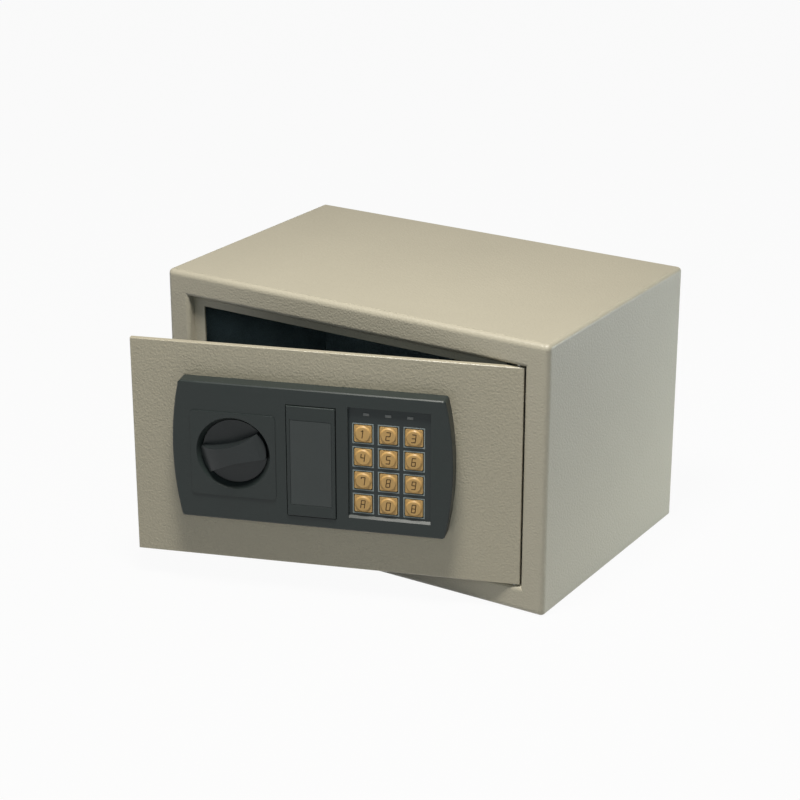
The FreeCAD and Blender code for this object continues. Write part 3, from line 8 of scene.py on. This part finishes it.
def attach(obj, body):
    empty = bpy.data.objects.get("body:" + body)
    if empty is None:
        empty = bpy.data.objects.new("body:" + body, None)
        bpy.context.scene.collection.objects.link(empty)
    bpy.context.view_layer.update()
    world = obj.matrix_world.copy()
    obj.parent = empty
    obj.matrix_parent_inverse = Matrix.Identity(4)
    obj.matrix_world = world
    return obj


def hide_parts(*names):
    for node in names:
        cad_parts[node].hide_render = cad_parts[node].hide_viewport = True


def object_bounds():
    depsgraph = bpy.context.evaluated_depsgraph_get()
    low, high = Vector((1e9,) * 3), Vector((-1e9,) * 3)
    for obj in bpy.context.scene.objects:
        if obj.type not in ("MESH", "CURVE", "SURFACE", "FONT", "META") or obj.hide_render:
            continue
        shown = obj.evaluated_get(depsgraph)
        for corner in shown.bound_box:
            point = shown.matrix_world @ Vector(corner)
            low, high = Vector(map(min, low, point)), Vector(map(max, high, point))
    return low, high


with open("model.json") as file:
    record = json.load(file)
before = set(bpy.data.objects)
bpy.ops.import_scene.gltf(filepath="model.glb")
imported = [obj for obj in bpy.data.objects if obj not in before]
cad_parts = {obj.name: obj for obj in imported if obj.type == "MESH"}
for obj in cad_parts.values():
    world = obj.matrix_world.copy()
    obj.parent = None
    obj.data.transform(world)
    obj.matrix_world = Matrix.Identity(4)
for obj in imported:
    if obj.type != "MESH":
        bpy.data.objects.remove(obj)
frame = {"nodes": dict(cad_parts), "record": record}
cad_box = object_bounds()
bpy.ops.object.select_all(action="DESELECT")


# Floor and light. The safe stands on a white table: a small warm lamp overhead, a low cool lamp
# that lights the table behind its right side, a weak cool fill from the front, and a little sky.

TABLE_SIZE, TABLE_DROP = 9, 0.0002
TABLE_GREY, TABLE_GLOW = (0.42, 0.42, 0.42), 0.95
SKY_TINT, SKY_STRENGTH = (0.90, 0.95, 1.0), 0.10
LAMPS = (
    ("overhead", (0.11, -0.35, 1.04), (0.0, 0.0, 0.15), 0.24, 12.2, (1.0, 0.97, 0.905)),
    ("right_side", (0.70, 0.55, 0.12), (0.65, 0.51, -0.08), 0.18, 9.0, (0.88, 0.98, 1.0)),
    ("front_fill", (0.62, -1.20, 0.72), (-0.08, 0.0, 0.12), 0.3, 1.9, (0.82, 0.96, 1.0)),
)


def node(tree, kind, wires=None, **settings):
    """A shader node with its settings, and each named input joined to a socket or set to a value."""
    made = tree.nodes.new("ShaderNode" + kind)
    for name, value in settings.items():
        setattr(made, name, value)
    for name, source in (wires or {}).items():
        if isinstance(source, bpy.types.NodeSocket):
            tree.links.new(source, made.inputs[name])
        else:
            made.inputs[name].default_value = source
    return made


def seen_directly(tree):
    """1 where the camera, a reflection or glass looks straight at the surface."""
    path = node(tree, "LightPath").outputs
    either = node(tree, "Math", {0: path["Is Camera Ray"], 1: path["Is Glossy Ray"]},
                  operation="MAXIMUM")
    clear = node(tree, "Math", {0: either.outputs[0], 1: path["Is Transmission Ray"]},
                 operation="MAXIMUM")
    return clear.outputs[0]


bpy.ops.mesh.primitive_plane_add(size=TABLE_SIZE, location=(0, 0, cad_box[0][2] - TABLE_DROP))
table_top = bpy.context.object
table_top.name = "table_top"
bpy.ops.object.transform_apply(location=True)
table_white = bpy.data.materials.new("table_white")
table_white.use_nodes = True
tree = table_white.node_tree
shader = tree.nodes["Principled BSDF"]
shader.inputs["Base Color"].default_value = (*TABLE_GREY, 1)
shader.inputs["Roughness"].default_value = 0.9
glow = node(tree, "Emission", {"Color": (1, 1, 1, 1), "Strength": 1.0})
share = node(tree, "Math", {0: seen_directly(tree), 1: TABLE_GLOW}, operation="MULTIPLY")
both = node(tree, "MixShader", {0: share.outputs[0], 1: shader.outputs[0], 2: glow.outputs[0]})
tree.links.new(both.outputs[0], tree.nodes["Material Output"].inputs["Surface"])
table_top.data.materials.append(table_white)

world = bpy.data.worlds.new("studio")
world.use_nodes = True
bpy.context.scene.world = world
tree = world.node_tree
sky = tree.nodes["Background"]
sky.inputs["Color"].default_value = (*SKY_TINT, 1)
sky.inputs["Strength"].default_value = SKY_STRENGTH
white = node(tree, "Background", {"Color": (1, 1, 1, 1), "Strength": 1.0})
by_camera = node(tree, "LightPath").outputs["Is Camera Ray"]
both = node(tree, "MixShader", {0: by_camera, 1: sky.outputs[0], 2: white.outputs[0]})
tree.links.new(both.outputs[0], tree.nodes["World Output"].inputs["Surface"])

for name, place, aim, size, power, tint in LAMPS:
    lamp = bpy.data.lights.new(name, "AREA")
    lamp.size = size
    lamp.energy = power
    lamp.color = tint
    holder = bpy.data.objects.new(name, lamp)
    bpy.context.collection.objects.link(holder)
    holder.location = place
    holder.rotation_euler = (Vector(aim) - Vector(place)).to_track_quat("-Z", "Y").to_euler()

camera = bpy.data.objects.new("camera", bpy.data.cameras.new("camera"))
bpy.context.collection.objects.link(camera)
turn, tilt, roll = math.radians(31.59), math.radians(20.873), math.radians(0.188)
aim = (Matrix.Rotation(turn, 4, "Z") @ Matrix.Rotation(math.pi/2 - tilt, 4, "X")
       @ Matrix.Rotation(roll, 4, "Z"))
camera.location = (0.76134, -1.24703, 0.65926)
camera.rotation_euler = aim.to_euler()
camera.data.lens = 95.55
camera.data.shift_x = -0.02225
camera.data.shift_y = -0.01282
bpy.context.scene.camera = camera
bpy.context.scene.view_settings.view_transform = "Standard"


# Cabinet. One folded steel wrap with a welded back, powder coated a warm stone grey all over.
# The coat is thick, and dries into a fine peel of shallow bumps, with painted shade in their hollows and a
# painted highlight on their crests.

def shader_group(name, inputs, outputs):
    """An empty node group with its sockets, and the two nodes that they show on inside it."""
    tree = bpy.data.node_groups.new(name, "ShaderNodeTree")
    for label, value in inputs.items():
        kind = "NodeSocketColor" if isinstance(value, tuple) else "NodeSocketFloat"
        tree.interface.new_socket(label, in_out="INPUT", socket_type=kind).default_value = value
    kinds = {"Base Color": "NodeSocketColor", "Normal": "NodeSocketVector"}
    for label in outputs:
        tree.interface.new_socket(label, in_out="OUTPUT", socket_type=kinds.get(label, "NodeSocketFloat"))
    return tree, tree.nodes.new("NodeGroupInput").outputs, tree.nodes.new("NodeGroupOutput").inputs


def finish_of(name, colour, roughness, metallic=0.0, specular=0.5, coat=0.0, group=None, **values):
    """A material with one shader, whose textures come from a group given its own values."""
    made = bpy.data.materials.new(name)
    made.use_nodes = True
    made.diffuse_color = (*colour, 1)
    tree = made.node_tree
    shader = tree.nodes["Principled BSDF"]
    shader.inputs["Base Color"].default_value = (*colour, 1)
    shader.inputs["Roughness"].default_value = roughness
    shader.inputs["Metallic"].default_value = metallic
    shader.inputs["Specular IOR Level"].default_value = specular
    shader.inputs["Coat Weight"].default_value = coat
    if group:
        texture = tree.nodes.new("ShaderNodeGroup")
        texture.node_tree = group
        texture.inputs["Colour"].default_value = (*colour, 1)
        texture.inputs["Roughness"].default_value = roughness
        for label, value in values.items():
            texture.inputs[label.replace("_", " ").capitalize()].default_value = value
        for socket in texture.outputs:
            tree.links.new(socket, shader.inputs[socket.name])
    return made


def spread(tree, noise, low, high, width=0.2):
    """A noise's usual values, within a width of its middle, stretched to run from low to high."""
    return node(tree, "MapRange", {"Value": noise, "From Min": 0.5 - width, "From Max": 0.5 + width,
                                   "To Min": low, "To Max": high}).outputs[0]


def shade_colour(tree, colour, value, result):
    """Sends a colour on to the group's result, made lighter or darker by a value."""
    tinted = node(tree, "HueSaturation", {"Color": colour, "Value": value})
    tree.links.new(tinted.outputs["Color"], result["Base Color"])


def dress(finish, *names):
    """Gives CAD nodes their finish."""
    for name in names:
        for holder in frame["nodes"][name].material_slots:
            holder.material = finish


powder_coat, given, result = shader_group(
    "powder coat",
    {"Colour": (0.5, 0.5, 0.5, 1.0), "Roughness": 0.45, "Peel": 650.0, "Depth": 0.00012, "Drift": 0.03},
    ("Base Color", "Roughness", "Normal"))
tree = powder_coat
place = node(tree, "TexCoord").outputs["Object"]
peel = node(tree, "TexNoise", {"Vector": place, "Scale": given["Peel"], "Detail": 2.0, "Roughness": 0.4})
fine_scale = node(tree, "Math", {0: given["Peel"], 1: 3.7}, operation="MULTIPLY")
fine = node(tree, "TexNoise", {"Vector": place, "Scale": fine_scale.outputs[0], "Detail": 1.0})
height = node(tree, "Math", {0: fine.outputs["Fac"], 1: 0.22, 2: peel.outputs["Fac"]},
              operation="MULTIPLY_ADD")
bumps = node(tree, "Bump", {"Height": height.outputs[0], "Strength": 1.0, "Distance": given["Depth"]})
tree.links.new(bumps.outputs["Normal"], result["Normal"])
cloud = node(tree, "TexNoise", {"Vector": place, "Scale": 9.0, "Detail": 3.0})
low = node(tree, "Math", {0: 1.0, 1: given["Drift"]}, operation="SUBTRACT")
high = node(tree, "Math", {0: 1.0, 1: given["Drift"]}, operation="ADD")
shade = spread(tree, cloud.outputs["Fac"], low.outputs[0], high.outputs[0])
# Painted shade and highlight: the coat is a little darker in the hollows of its peel and a little lighter on
# its crests.
pit_shade_crest_light = spread(tree, peel.outputs["Fac"], 0.975, 1.02)
value = node(tree, "Math", {0: shade, 1: pit_shade_crest_light}, operation="MULTIPLY")
shade_colour(tree, given["Colour"], value.outputs[0], result)
dull = spread(tree, fine.outputs["Fac"], -0.05, 0.05)
rough = node(tree, "Math", {0: dull, 1: given["Roughness"]}, operation="ADD")
tree.links.new(rough.outputs[0], result["Roughness"])

STONE_GREY = (0.440, 0.408, 0.322)
cabinet_paint = finish_of("cabinet_paint", STONE_GREY, 0.40, group=powder_coat, peel=680.0, depth=0.00032)
dress(cabinet_paint, "body_wrap", "back_panel", "door_seat_frame", "hinge_plates")


# Lining. Slate grey felt, glued to the walls and the back so that valuables don't rattle, and a
# thicker loose mat of the same on the floor.

nap, given, result = shader_group(
    "felt nap", {"Colour": (0.5, 0.5, 0.5, 1.0), "Roughness": 0.95, "Fibre": 1400.0, "Depth": 0.0004},
    ("Base Color", "Roughness", "Normal"))
tree = nap
place = node(tree, "TexCoord").outputs["Object"]
fibres = node(tree, "TexNoise", {"Vector": place, "Scale": given["Fibre"], "Detail": 4.0, "Distortion": 1.2})
lie = node(tree, "TexNoise", {"Vector": place, "Scale": 26.0, "Detail": 3.0})
fleck = spread(tree, fibres.outputs["Fac"], 0.65, 1.4)
brushed = spread(tree, lie.outputs["Fac"], 0.9, 1.12)
value = node(tree, "Math", {0: fleck, 1: brushed}, operation="MULTIPLY")
shade_colour(tree, given["Colour"], value.outputs[0], result)
tree.links.new(given["Roughness"], result["Roughness"])
bumps = node(tree, "Bump", {"Height": fibres.outputs["Fac"], "Strength": 0.9, "Distance": given["Depth"]})
tree.links.new(bumps.outputs["Normal"], result["Normal"])

felt = finish_of("slate_felt", (0.215, 0.278, 0.298), 0.95, specular=0.15, group=nap)
dress(felt, "floor_mat", "lining_back", "lining_wrap")


# Door. A 4 mm steel plate with the same coat, laid on more heavily, so its peel is coarser
# and catches the light in small glints.

door_paint = finish_of("door_paint", (0.420, 0.384, 0.292), 0.32, group=powder_coat, peel=640.0,
                       depth=0.00034)
dress(door_paint, "door_plate")


# Steel fittings. Hinge blocks and pins are bare and oiled, the pressed brackets, studs and
# carriage are zinc plated, and the locking bolts are turned and chromed.

metal_grain, given, result = shader_group(
    "metal grain", {"Colour": (0.5, 0.5, 0.5, 1.0), "Roughness": 0.3, "Grain": 900.0, "Depth": 0.00004,
                    "Stain": 0.08},
    ("Base Color", "Roughness", "Normal"))
tree = metal_grain
place = node(tree, "TexCoord").outputs["Object"]
drawn = node(tree, "Mapping", {"Vector": place, "Scale": (1.0, 1.0, 0.08)})
lines = node(tree, "TexNoise", {"Vector": drawn.outputs[0], "Scale": given["Grain"], "Detail": 2.0})
spots = node(tree, "TexNoise", {"Vector": place, "Scale": 70.0, "Detail": 4.0, "Roughness": 0.6})
bumps = node(tree, "Bump", {"Height": lines.outputs["Fac"], "Strength": 0.6, "Distance": given["Depth"]})
tree.links.new(bumps.outputs["Normal"], result["Normal"])
low = node(tree, "Math", {0: 1.0, 1: given["Stain"]}, operation="SUBTRACT")
shade = spread(tree, spots.outputs["Fac"], low.outputs[0], 1.04, width=0.15)
shade_colour(tree, given["Colour"], shade, result)
worn = spread(tree, spots.outputs["Fac"], 0.08, -0.05)
streaks = spread(tree, lines.outputs["Fac"], -0.05, 0.05)
uneven = node(tree, "Math", {0: worn, 1: streaks}, operation="ADD")
rough = node(tree, "Math", {0: uneven.outputs[0], 1: given["Roughness"]}, operation="ADD")
tree.links.new(rough.outputs[0], result["Roughness"])

oiled_steel = finish_of("oiled_steel", (0.36, 0.36, 0.35), 0.34, 1.0, group=metal_grain, stain=0.18)
dress(oiled_steel, "hinge_blocks", "hinge_pins", "knob_spindle", "solenoid_plunger", "plunger_spring")
zinc = finish_of("zinc_plate", (0.56, 0.57, 0.58), 0.36, 1.0, group=metal_grain, grain=500.0, stain=0.12)
dress(zinc, "bolt_guide_bracket", "guide_studs", "bolt_carriage", "crank_arm", "spindle_screw",
      "bezel_screws", "lock_nut", "lock_cam", "solenoid_bracket", "solenoid_body", "cover_posts",
      "board_posts", "cover_screws")
chromed = finish_of("bolt_chrome", (0.62, 0.63, 0.64), 0.16, 1.0, group=metal_grain, stain=0.05)
dress(chromed, "locking_bolts", "lock_cylinder")
turned_brass = finish_of("turned_brass", (0.58, 0.42, 0.17), 0.30, 1.0, group=metal_grain, stain=0.16)
dress(turned_brass, "spindle_bush", "lock_plug")


# Keypad housing. One dark moulding with bowed ends, finely grained. Its snap cover hides the
# emergency lock and is moulded in the same plastic.

moulded_grain, given, result = shader_group(
    "moulded grain", {"Colour": (0.5, 0.5, 0.5, 1.0), "Roughness": 0.4, "Grain": 1800.0, "Depth": 0.00003,
                      "Smear": 0.05, "Soft edge": 0.0004},
    ("Base Color", "Roughness", "Normal"))
tree = moulded_grain
place = node(tree, "TexCoord").outputs["Object"]
pebbles = node(tree, "TexVoronoi", {"Vector": place, "Scale": given["Grain"]}, feature="SMOOTH_F1")
touch = node(tree, "TexNoise", {"Vector": place, "Scale": 45.0, "Detail": 3.0})
soft = node(tree, "Bevel", {"Radius": given["Soft edge"]}, samples=6)
bumps = node(tree, "Bump", {"Height": pebbles.outputs["Distance"], "Strength": 0.6,
                            "Distance": given["Depth"], "Normal": soft.outputs["Normal"]})
tree.links.new(bumps.outputs["Normal"], result["Normal"])
handled = spread(tree, touch.outputs["Fac"], -1.0, 1.0, width=0.15)
rough = node(tree, "Math", {0: handled, 1: given["Smear"], 2: given["Roughness"]},
             operation="MULTIPLY_ADD")
tree.links.new(rough.outputs[0], result["Roughness"])
shade_colour(tree, given["Colour"], spread(tree, touch.outputs["Fac"], 0.94, 1.06), result)

housing_plastic = finish_of("housing_plastic", (0.026, 0.034, 0.033), 0.36, specular=0.32,
                            group=moulded_grain)
dress(housing_plastic, "keypad_bezel", "override_cover")
knob_plastic = finish_of("knob_plastic", (0.024, 0.029, 0.030), 0.33, specular=0.32, group=moulded_grain)
dress(knob_plastic, "knob")
panel_plastic = finish_of("panel_plastic", (0.030, 0.038, 0.039), 0.42, specular=0.30, group=moulded_grain)
dress(panel_plastic, "keypad_panel")
black_plastic = finish_of("black_plastic", (0.012, 0.012, 0.013), 0.45, specular=0.35, group=moulded_grain)
dress(black_plastic, "tact_switches", "battery_tray", "battery_cover")
red_plastic = finish_of("red_plastic", (0.42, 0.012, 0.010), 0.28, group=moulded_grain, grain=300.0,
                        depth=0.00001)
dress(red_plastic, "reset_button")
lens_plastic = finish_of("lens_plastic", (0.105, 0.118, 0.115), 0.25, coat=0.4, group=moulded_grain,
                         depth=0.00001)
dress(lens_plastic, "indicator_lenses")


# Label. A smooth bare plate of a lighter grey, stuck down in the snap cover's shallow recess, a
# little under the middle of the cover.

JOINT_AXES = {joint["name"]: Vector(joint["axis"]) for joint in frame["record"]["behaviour"]["joints"]}
right, up, out = -JOINT_AXES["bolt_throw"], Vector((0, 0, 1)), JOINT_AXES["knob_turn"]
door_axes = Matrix((right, up, out)).transposed().to_4x4()
LABEL_WIDTH, LABEL_TALL, LABEL_THICKNESS, LABEL_EDGE = 0.0288, 0.0618, 0.0003, 0.00012
LABEL_RECESS, LABEL_DROP = 0.0004, 0.00075


def reach(name, direction):
    """How far a CAD node reaches along a direction: its least and its greatest."""
    along = [direction.dot(vertex.co) for vertex in frame["nodes"][name].data.vertices]
    return min(along), max(along)


def on_door(piece, across, up, outward):
    """Sets down a piece that was drawn flat, x to the door's right and z out of its front."""
    piece.data.transform(door_axes @ Matrix.Translation((across, up, outward)))


def middle(name, direction):
    """Where a CAD node's middle lies along a direction."""
    return sum(reach(name, direction))/2


def thickened(thickness):
    """Raises the flat sheet in edit mode into a closed one that faces outwards, and leaves edit mode."""
    bpy.ops.mesh.extrude_region_move(TRANSFORM_OT_translate={"value": (0, 0, thickness)})
    bpy.ops.mesh.select_all(action="SELECT")
    bpy.ops.mesh.normals_make_consistent(inside=False)
    bpy.ops.object.mode_set(mode="OBJECT")


def pick(*pieces):
    """Selects these pieces alone, with the first one active."""
    bpy.ops.object.select_all(action="DESELECT")
    for piece in pieces:
        piece.select_set(True)
    bpy.context.view_layer.objects.active = pieces[0]


def merged(pieces):
    """One piece out of several."""
    pick(*pieces)
    bpy.ops.object.join()
    return bpy.context.object


def twin(piece):
    """A copy of a piece with a mesh of its own."""
    copy = piece.copy()
    copy.data = piece.data.copy()
    bpy.context.collection.objects.link(copy)
    return copy


bpy.ops.mesh.primitive_plane_add(size=1)
label_plate = bpy.context.object
label_plate.name = "label_plate"
label_plate.scale = (LABEL_WIDTH, LABEL_TALL, 1)
bpy.ops.object.transform_apply(scale=True)
bpy.ops.object.mode_set(mode="EDIT")
thickened(LABEL_THICKNESS)
rounded = label_plate.modifiers.new("rounded", "BEVEL")
rounded.width = LABEL_EDGE
rounded.segments = 2
bpy.ops.object.modifier_apply(modifier="rounded")
on_door(label_plate, middle("override_cover", right), middle("override_cover", up) - LABEL_DROP,
        reach("override_cover", out)[1] - LABEL_RECESS)
label_foil = finish_of("label_foil", (0.027, 0.036, 0.035), 0.22, specular=0.45, group=moulded_grain,
                       grain=2600.0, depth=0.000006, smear=0.03)
label_plate.data.materials.append(label_foil)
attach(label_plate, "lock_cover")


# Keys. Twelve amber keys with a low round dome, each inside a thin grey line printed on the panel.
# Their signs are printed on the domes in brown, each made of short bars.

LINE_SQUARE, LINE_WIDTH, LINE_THICKNESS = 0.0148, 0.0008, 0.00006
BAR_WIDTH, BAR_LENGTH, BAR_THICKNESS, BAR_LAP = 0.00070, 0.0030, 0.00005, 0.0002
SIGN_LEAN = 0.13
key_plastic = finish_of("amber_plastic", (0.56, 0.345, 0.125), 0.38, specular=0.4, group=moulded_grain,
                        grain=900.0, depth=0.00002)
KEY_NAMES = [name for name in frame["nodes"] if name.startswith("key_")]
dress(key_plastic, *KEY_NAMES)

bpy.ops.mesh.primitive_plane_add(size=LINE_SQUARE)
key_line = bpy.context.object
bpy.ops.object.mode_set(mode="EDIT")
bpy.ops.mesh.inset(thickness=LINE_WIDTH)
bpy.ops.mesh.delete(type="FACE")
bpy.ops.mesh.select_all(action="SELECT")
thickened(LINE_THICKNESS)
lines = []
for name in KEY_NAMES:
    line = twin(key_line)
    on_door(line, middle(name, right), middle(name, up), reach("keypad_panel", out)[1])
    lines.append(line)
bpy.data.objects.remove(key_line)
key_lines = merged(lines)
key_lines.name = "key_lines"
line_print = finish_of("line_print", (0.28, 0.325, 0.325), 0.5, specular=0.3, group=moulded_grain, smear=0.08)
key_lines.data.materials.append(line_print)
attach(key_lines, "door")

bpy.ops.object.select_all(action="DESELECT")
bpy.ops.mesh.primitive_circle_add(vertices=6, radius=BAR_WIDTH/2, fill_type="NGON")
bar = bpy.context.object
bpy.ops.object.mode_set(mode="EDIT")
bpy.ops.mesh.select_all(action="DESELECT")
bpy.ops.object.mode_set(mode="OBJECT")
for vertex in bar.data.vertices:
    vertex.select = vertex.co.y > 0
bpy.ops.object.mode_set(mode="EDIT")
bpy.ops.transform.translate(value=(0, BAR_LENGTH - BAR_WIDTH, 0))
bpy.ops.mesh.select_all(action="SELECT")
bpy.ops.transform.translate(value=(0, (BAR_WIDTH - BAR_LENGTH)/2, 0))
thickened(BAR_THICKNESS)
half, step = BAR_LENGTH/2 - BAR_LAP, BAR_LENGTH - BAR_LAP
SEATS = {
    "top": (0, step, 90, 1), "upper_right": (half, step/2, 0, 1), "lower_right": (half, -step/2, 0, 1),
    "bottom": (0, -step, 90, 1), "lower_left": (-half, -step/2, 0, 1), "upper_left": (-half, step/2, 0, 1),
    "middle": (0, 0, 90, 1), "upper_stem": (0, step/2, 0, 1), "lower_stem": (0, -step/2, 0, 1),
    "flag": (-half/2, 0.82*step, -50, 0.6), "tick": (-half, 0.82*step, 0, 0.5),
}
LIT = {
    "0": "top upper_right lower_right bottom lower_left upper_left", "1": "flag upper_stem lower_stem",
    "2": "top upper_right middle lower_left bottom", "3": "top upper_right middle lower_right bottom",
    "4": "upper_left middle upper_right lower_right", "5": "top upper_left middle lower_right bottom",
    "6": "top upper_left lower_left bottom lower_right middle", "7": "tick top upper_right lower_right",
    "8": " ".join(list(SEATS)[:7]), "9": "top upper_left upper_right middle lower_right bottom",
    "a": "top upper_right lower_right lower_left upper_left middle", "b": " ".join(list(SEATS)[:7]),
}
number_print = finish_of("number_print", (0.070, 0.036, 0.014), 0.55, specular=0.25, group=moulded_grain)
for name in KEY_NAMES:
    mark = name.removeprefix("key_")
    bars = []
    for seat in LIT[mark].split():
        x, y, turn_by, stretch = SEATS[seat]
        placed = twin(bar)
        shape = Matrix.Rotation(math.radians(turn_by), 4, "Z") @ Matrix.Diagonal((1, stretch, 1, 1))
        placed.data.transform(Matrix.Translation((x, y, 0)) @ shape)
        bars.append(placed)
    number = merged(bars)
    number.name = "number_" + mark
    number.data.transform(Matrix(((1, SIGN_LEAN, 0, 0), (0, 1, 0, 0), (0, 0, 1, 0), (0, 0, 0, 1))))
    on_door(number, middle(name, right), middle(name, up), reach(name, out)[1])
    number.data.materials.append(number_print)
    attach(number, name)
bpy.data.objects.remove(bar)


# Inner works. Green circuit boards, a flat grey lead, wrapped cells, and the pressed cover
# over them, painted dark.

board_green = finish_of("board_green", (0.020, 0.110, 0.045), 0.30, coat=0.3, group=moulded_grain,
                        depth=0.00001)
dress(board_green, "keypad_board", "control_board")
lead_grey = finish_of("lead_grey", (0.34, 0.34, 0.33), 0.5, group=moulded_grain, grain=700.0)
dress(lead_grey, "keypad_ribbon")
cell_wrap = finish_of("cell_wrap", (0.030, 0.032, 0.038), 0.30, coat=0.3, group=moulded_grain, depth=0.00001)
dress(cell_wrap, "batteries")
inner_paint = finish_of("inner_cover_paint", (0.022, 0.025, 0.026), 0.5, group=powder_coat, peel=900.0,
                        depth=0.0001)
dress(inner_paint, "mechanism_cover")


# Inner cover's screws. Four zinc-plated pan heads with a rounded rim, each with a cross recess
# for a screwdriver, seen when the door is open.

CROSS_SPAN, CROSS_WIDTH, CROSS_DEPTH = 0.0034, 0.0008, 0.0011
RIM_ROUND, RIM_STEPS = 0.0009, 5
SAME_POINT, SAME_LEVEL = 0.000005, 0.00001
pan_heads = bpy.data.objects.new("pan_head_screws", frame["nodes"]["cover_screws"].data.copy())
bpy.context.collection.objects.link(pan_heads)
pick(pan_heads)
bpy.ops.object.mode_set(mode="EDIT")
bpy.ops.mesh.select_all(action="SELECT")
bpy.ops.mesh.remove_doubles(threshold=SAME_POINT)
bpy.ops.mesh.dissolve_limited(angle_limit=math.radians(1))
bpy.ops.object.mode_set(mode="OBJECT")
crown_level = min(out.dot(vertex.co) for vertex in pan_heads.data.vertices) + SAME_LEVEL
crowns = [face.center.copy() for face in pan_heads.data.polygons if out.dot(face.center) < crown_level]
for vertex in pan_heads.data.vertices:
    vertex.select = out.dot(vertex.co) < crown_level
bpy.ops.object.mode_set(mode="EDIT")
bpy.ops.mesh.select_mode(type="VERT")
bpy.ops.mesh.bevel(offset=RIM_ROUND, segments=RIM_STEPS, affect="EDGES")
bpy.ops.object.mode_set(mode="OBJECT")
for turned_by in (0, 90):
    arms = []
    for crown in crowns:
        bpy.ops.mesh.primitive_cube_add(size=1)
        arm = bpy.context.object
        arm.data.transform(Matrix.Translation(crown) @ door_axes
                           @ Matrix.Rotation(math.radians(turned_by), 4, "Z")
                           @ Matrix.Diagonal((CROSS_SPAN, CROSS_WIDTH, 2*CROSS_DEPTH, 1)))
        arms.append(arm)
    bit = merged(arms)
    pick(pan_heads)
    recess = pan_heads.modifiers.new("recess", "BOOLEAN")
    recess.object = bit
    recess.operation = "DIFFERENCE"
    bpy.ops.object.modifier_apply(modifier="recess")
    bpy.data.objects.remove(bit)
bpy.ops.object.shade_smooth_by_angle(angle=math.radians(35))
pan_heads.data.materials.clear()
pan_heads.data.materials.append(zinc)
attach(pan_heads, "door")
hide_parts("cover_screws")
